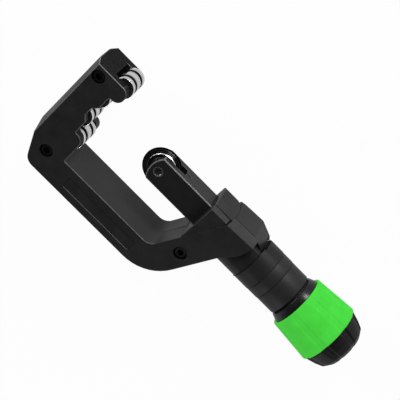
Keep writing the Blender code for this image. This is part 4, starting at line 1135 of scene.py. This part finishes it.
# knob: core with its collar, lobed grip and lobed cap
knobSizes = {
    "lobes": 8, "lobePhase": 25.5, "fluteHalf": 7.0, "fluteSteps": 30,
    "collarX": 177.0, "collarRearX": 181.8, "collarRadius": 17.2, "coreRadius": 19.1, "coreRearX": 213.3,
    "mouth": 15.7, "hubX": (191.6, 206.0), "journal": 5.3, "recess": 12.0,
    "gripX": (182.1, 213.6), "gripRadius": (21.0, 23.7), "gripRound": 0.9, "gripBore": 19.4,
    "gripFlute": 0.5, "gripStations": 10,
    "capProfile": [
        (22.6, 213.9, 0.5), (21.9, 216.5, 2.0), (20.6, 221.0, 3.0), (18.6, 225.7, 1.2), (14.6, 228.6, 1.0),
    ],
    "capFace": 10.5, "capEndX": 229.0, "capFlute": 1.1, "capHollowX": 219.0,
    "spigot": 11.7, "spigotWall": 2.7, "spigotLength": 4.4,
}


def makeLobeTree():
    # sinks one flute per lobe into a turned blank, by the blank's own "flute" share
    sizes = {"Lobes": knobSizes["lobes"], "Phase": 0.0, "Flute Half Angle": 0.1, "Depth": 1.0}
    wire, given, out = geometryTree("gripLobes", sizes)
    spot = wire.add("GeometryNodeInputPosition").outputs[0]
    parts = wire.add("ShaderNodeSeparateXYZ", {0: spot}).outputs
    angle = wire.math("ARCTAN2", parts["Y"], parts["Z"])
    pitch = wire.math("DIVIDE", 2 * math.pi, given["Lobes"])
    turned = wire.math("FLOORED_MODULO", wire.math("SUBTRACT", angle, given["Phase"]), pitch)
    away = wire.math("ABSOLUTE", wire.math("SUBTRACT", turned, wire.math("MULTIPLY", pitch, 0.5)))
    share = wire.math("MINIMUM", wire.math("DIVIDE", away, given["Flute Half Angle"]), 1.0)
    wave = wire.math("MULTIPLY", wire.math("SUBTRACT", 1.0, share), 3.0, True)
    mark = wire.add("GeometryNodeInputNamedAttribute", {"Name": "flute"}, data_type="FLOAT")
    sink = wire.math("MULTIPLY", wire.math("MULTIPLY", wave, given["Depth"]), mark.outputs["Attribute"])
    flat = wire.add("ShaderNodeCombineXYZ", {"Y": parts["Y"], "Z": parts["Z"]}).outputs[0]
    radius = wire.add("ShaderNodeVectorMath", {0: flat}, operation="LENGTH").outputs["Value"]
    pull = wire.math("DIVIDE", wire.math("MULTIPLY", sink, -1.0), wire.math("MAXIMUM", radius, 0.01))
    offset = wire.add("ShaderNodeVectorMath", {0: flat, "Scale": pull}, operation="SCALE").outputs[0]
    moved = wire.add("GeometryNodeSetPosition", {"Geometry": given["Geometry"], "Offset": offset})
    return closeTree(wire, moved.outputs[0], given, out)


lobeTree = makeLobeTree()


def lobedPiece(name, profile, depth, fluteAt, node, finish):
    # profile turned about X, then fluted; fluteAt(x, r) gives each point's share of the depth
    k = knobSizes
    phase = math.radians(k["lobePhase"])
    mesh = turnedMesh(name, profile, "X", k["lobes"] * k["fluteSteps"], phase=phase)
    mark = mesh.attributes.new("flute", "FLOAT", "POINT")
    for index, vert in enumerate(mesh.vertices):
        mark.data[index].value = fluteAt(vert.co.x, fromAxis(vert.co))
    values = {
        "Lobes": k["lobes"], "Phase": phase, "Flute Half Angle": math.radians(k["fluteHalf"]),
        "Depth": depth, "Finish": finishes[finish],
    }
    mesh = smoothTurned(treeMesh(placeThing(name, mesh), lobeTree, values), 40)
    finishPiece(name, mesh, "knob", [node], finish)


def makeKnob():
    k = knobSizes
    core = turnedMesh("knobCore", [
        (k["recess"], k["coreRearX"], 0.3), (k["coreRadius"], k["coreRearX"], 0.3),
        (k["coreRadius"], k["collarRearX"], 0.2), (k["collarRadius"], k["collarX"], 0.5),
        (k["mouth"], k["collarX"], 0.3), (k["mouth"], k["hubX"][0], 0.5), (k["journal"], k["hubX"][0], 0.3),
        (k["journal"], k["hubX"][1], 0.3), (k["recess"], k["hubX"][1], 0.3),
    ], "X", 144)
    core = smoothTurned(core)
    finishPiece("knobCore", core, "knob", ["knob_core"], "collarBlack")

    front, rear = k["gripX"]
    frontRadius, rearRadius = k["gripRadius"]
    soft = k["gripRound"]

    def gripFlute(x, r):
        if r < k["gripBore"] + 0.3:
            return 0.0
        return min(1.0, max(0.0, (x - front) / (4 * soft)))

    stations = k["gripStations"]
    body = []
    for step in range(1, stations):
        share = step / stations
        body.append((frontRadius + share * (rearRadius - frontRadius), front + share * (rear - front), 0))
    grip = [(k["gripBore"], front, 0.2), (frontRadius, front, soft)] + body
    grip += [(rearRadius, rear, soft), (k["gripBore"], rear, 0.2)]
    lobedPiece("knobGrip", grip, k["gripFlute"], gripFlute, "knob_grip", "gripGreen")

    seat = k["capProfile"][0][1]
    hollow = k["spigot"] - k["spigotWall"]
    cap = [(k["spigot"], seat - k["spigotLength"], 0.3), (k["spigot"], seat, 0.2)]
    cap += k["capProfile"]
    cap += [(k["capFace"], k["capEndX"], 1.0), (0, k["capEndX"], 0), (0, k["capHollowX"], 0)]
    cap += [(hollow, k["capHollowX"], 0.5), (hollow, seat - k["spigotLength"], 0.3)]

    def capFlute(x, r):
        if x < seat - 0.05 or r < k["spigot"] - 0.5 and x < k["capEndX"] - 2:
            return 0.0
        return r / rearRadius if x < k["capEndX"] - 0.01 or r > k["capFace"] - 1.5 else 0.0

    lobedPiece("knobEndCap", cap, k["capFlute"], capFlute, "knob_end_cap", "capBlack")


makeKnob()
print("stage: knob made")


# carried-over pieces keep their CAD mesh and get a finish
carried = {
    "screwBlack": [
        "roller_pin_outer_top", "roller_pin_inner_top", "roller_pin_inner_low", "roller_pin_outer_low",
        "wheel_pin_clip", "nut_set_screw",
    ],
    "bronze": ["sleeve_end_bush", "feed_nut", "wheel_bush"],
    "hiddenSteel": [
        "thrust_washer_front", "thrust_washer_rear", "feed_screw", "knob_drive_pin",
        "knob_nut_washer", "knob_nut",
    ],
}
for finish, names in carried.items():
    for nodeName in names:
        for slot in bpy.data.objects[nodeName].material_slots:
            slot.material = finishes[finish]
print("stage: carried-over pieces finished")


stageLook = {
    "floorSize": 6.0, "floorZ": -0.0005, "floorColour": 0.80, "whiten": 0.97, "mirrored": 0.60,
    "horizon": (0.05, 0.90), "overhead": (0.72, 0.05),     # a height in the sky and its brightness
    "lampsMeet": (90, -10, 0),
}
white = (1, 1, 1, 1)


def blendInto(wire, output, share, first, second):
    blend = wire.add("ShaderNodeMixShader", {0: share, 1: first.outputs[0], 2: second.outputs[0]})
    wire.feed(wire.tree.nodes[output].inputs["Surface"], blend.outputs[0])


def makeFloor():
    half = stageLook["floorSize"] / 2
    corners = ((-half, -half), (half, -half), (half, half), (-half, half))
    work = bmesh.new()
    work.faces.new([work.verts.new((x, y, stageLook["floorZ"])) for x, y in corners])
    floor = placeThing("floor", meshFrom("floor", work))
    material, wire, shader = newFinish("paperFloor", 0.0, 0.1)
    shader.inputs["Roughness"].default_value = 0.9
    shader.inputs["Base Color"].default_value = (*grey(stageLook["floorColour"]), 1)
    path = wire.add("ShaderNodeLightPath").outputs
    seen = wire.math("MAXIMUM", path["Is Camera Ray"], path["Is Glossy Ray"])
    seen = wire.math("MAXIMUM", seen, path["Is Transmission Ray"])
    strength = wire.spread(path["Is Camera Ray"], 0.0, 1.0, stageLook["mirrored"], 1.0)
    glow = wire.add("ShaderNodeEmission", {"Color": white, "Strength": strength})
    blendInto(wire, "Material Output", wire.math("MULTIPLY", seen, stageLook["whiten"]), shader, glow)
    floor.data.materials.append(material)


def makeWorld():
    # bright all round the horizon, dark overhead, white where the camera sees it
    world = bpy.data.worlds.new("studio")
    scene.world = world
    world.use_nodes = True
    wire = Nodes(world.node_tree)
    sky = world.node_tree.nodes["Background"]
    spot = wire.add("ShaderNodeTexCoord").outputs["Generated"]
    height = wire.add("ShaderNodeSeparateXYZ", {0: spot}).outputs["Z"]
    ramp = wire.add("ShaderNodeValToRGB", {0: height})
    tones = (stageLook["horizon"], stageLook["overhead"])
    for stop, (position, tone) in zip(ramp.color_ramp.elements, tones):
        stop.position = position
        stop.color = (*grey(tone), 1)
    wire.feed(sky.inputs["Color"], ramp.outputs[0])
    seen = wire.add("ShaderNodeLightPath").outputs["Is Camera Ray"]
    backdrop = wire.add("ShaderNodeBackground", {"Color": white, "Strength": 1.0})
    blendInto(wire, "World Output", seen, sky, backdrop)


# each lamp: its direction from the tool, its distance, its width and height, and its watts
lamps = {
    "softboxSide": {"towards": (-0.15, 0.93, 0.30), "away": 0.9, "size": (0.50, 0.24), "watts": 6.3},
    "softboxLow": {"towards": (0.45, -0.65, 0.62), "away": 0.9, "size": (0.40, 0.30), "watts": 1.5},
    "softboxBack": {"towards": (-0.90, 0.10, 0.42), "away": 0.9, "size": (0.50, 0.30), "watts": 3.0},
}


def makeLamps():
    target = toolOrigin + Vector(stageLook["lampsMeet"]) * mm
    for name, look in lamps.items():
        light = bpy.data.lights.new(name, "AREA")
        light.shape = "RECTANGLE"
        light.size, light.size_y = look["size"]
        light.energy = look["watts"]
        lamp = placeThing(name, light)
        towards = Vector(look["towards"]).normalized()
        lamp.location = target + towards * look["away"]
        lamp.rotation_euler = (-towards).to_track_quat("-Z", "Y").to_euler()


cameraLook = {
    "focal": 105.75, "sensor": 36.0,
    "place": (10.404, 337.159, 702.025),       # millimetres in the tool's frame
    "view": (0.09853, -0.42815, -0.89832),
    "axis": (0.99513, 0.04474, 0.08783),       # the direction in the picture that runs down to the right
}


def makeCamera():
    # the tool lies along the picture's diagonal, so the camera is rolled by 45 degrees about its view
    view = Vector(cameraLook["view"]).normalized()
    along = Vector(cameraLook["axis"])
    along = (along - view * along.dot(view)).normalized()
    across = view.cross(along)
    if across.y < 0:
        across = -across
    right = (along + across).normalized()
    up = (across - along).normalized()
    data = bpy.data.cameras.new("photoCamera")
    data.sensor_width = cameraLook["sensor"]
    data.lens = cameraLook["focal"]
    data.clip_start = 0.01
    camera = placeThing("photoCamera", data)
    turn = Matrix((right, up, -view)).transposed().to_4x4()
    camera.matrix_world = Matrix.Translation(toolOrigin + Vector(cameraLook["place"]) * mm) @ turn
    scene.camera = camera


makeFloor()
makeWorld()
makeLamps()
makeCamera()
scene.view_settings.view_transform = "Standard"
print("stage: floor, world, lamps and camera made")
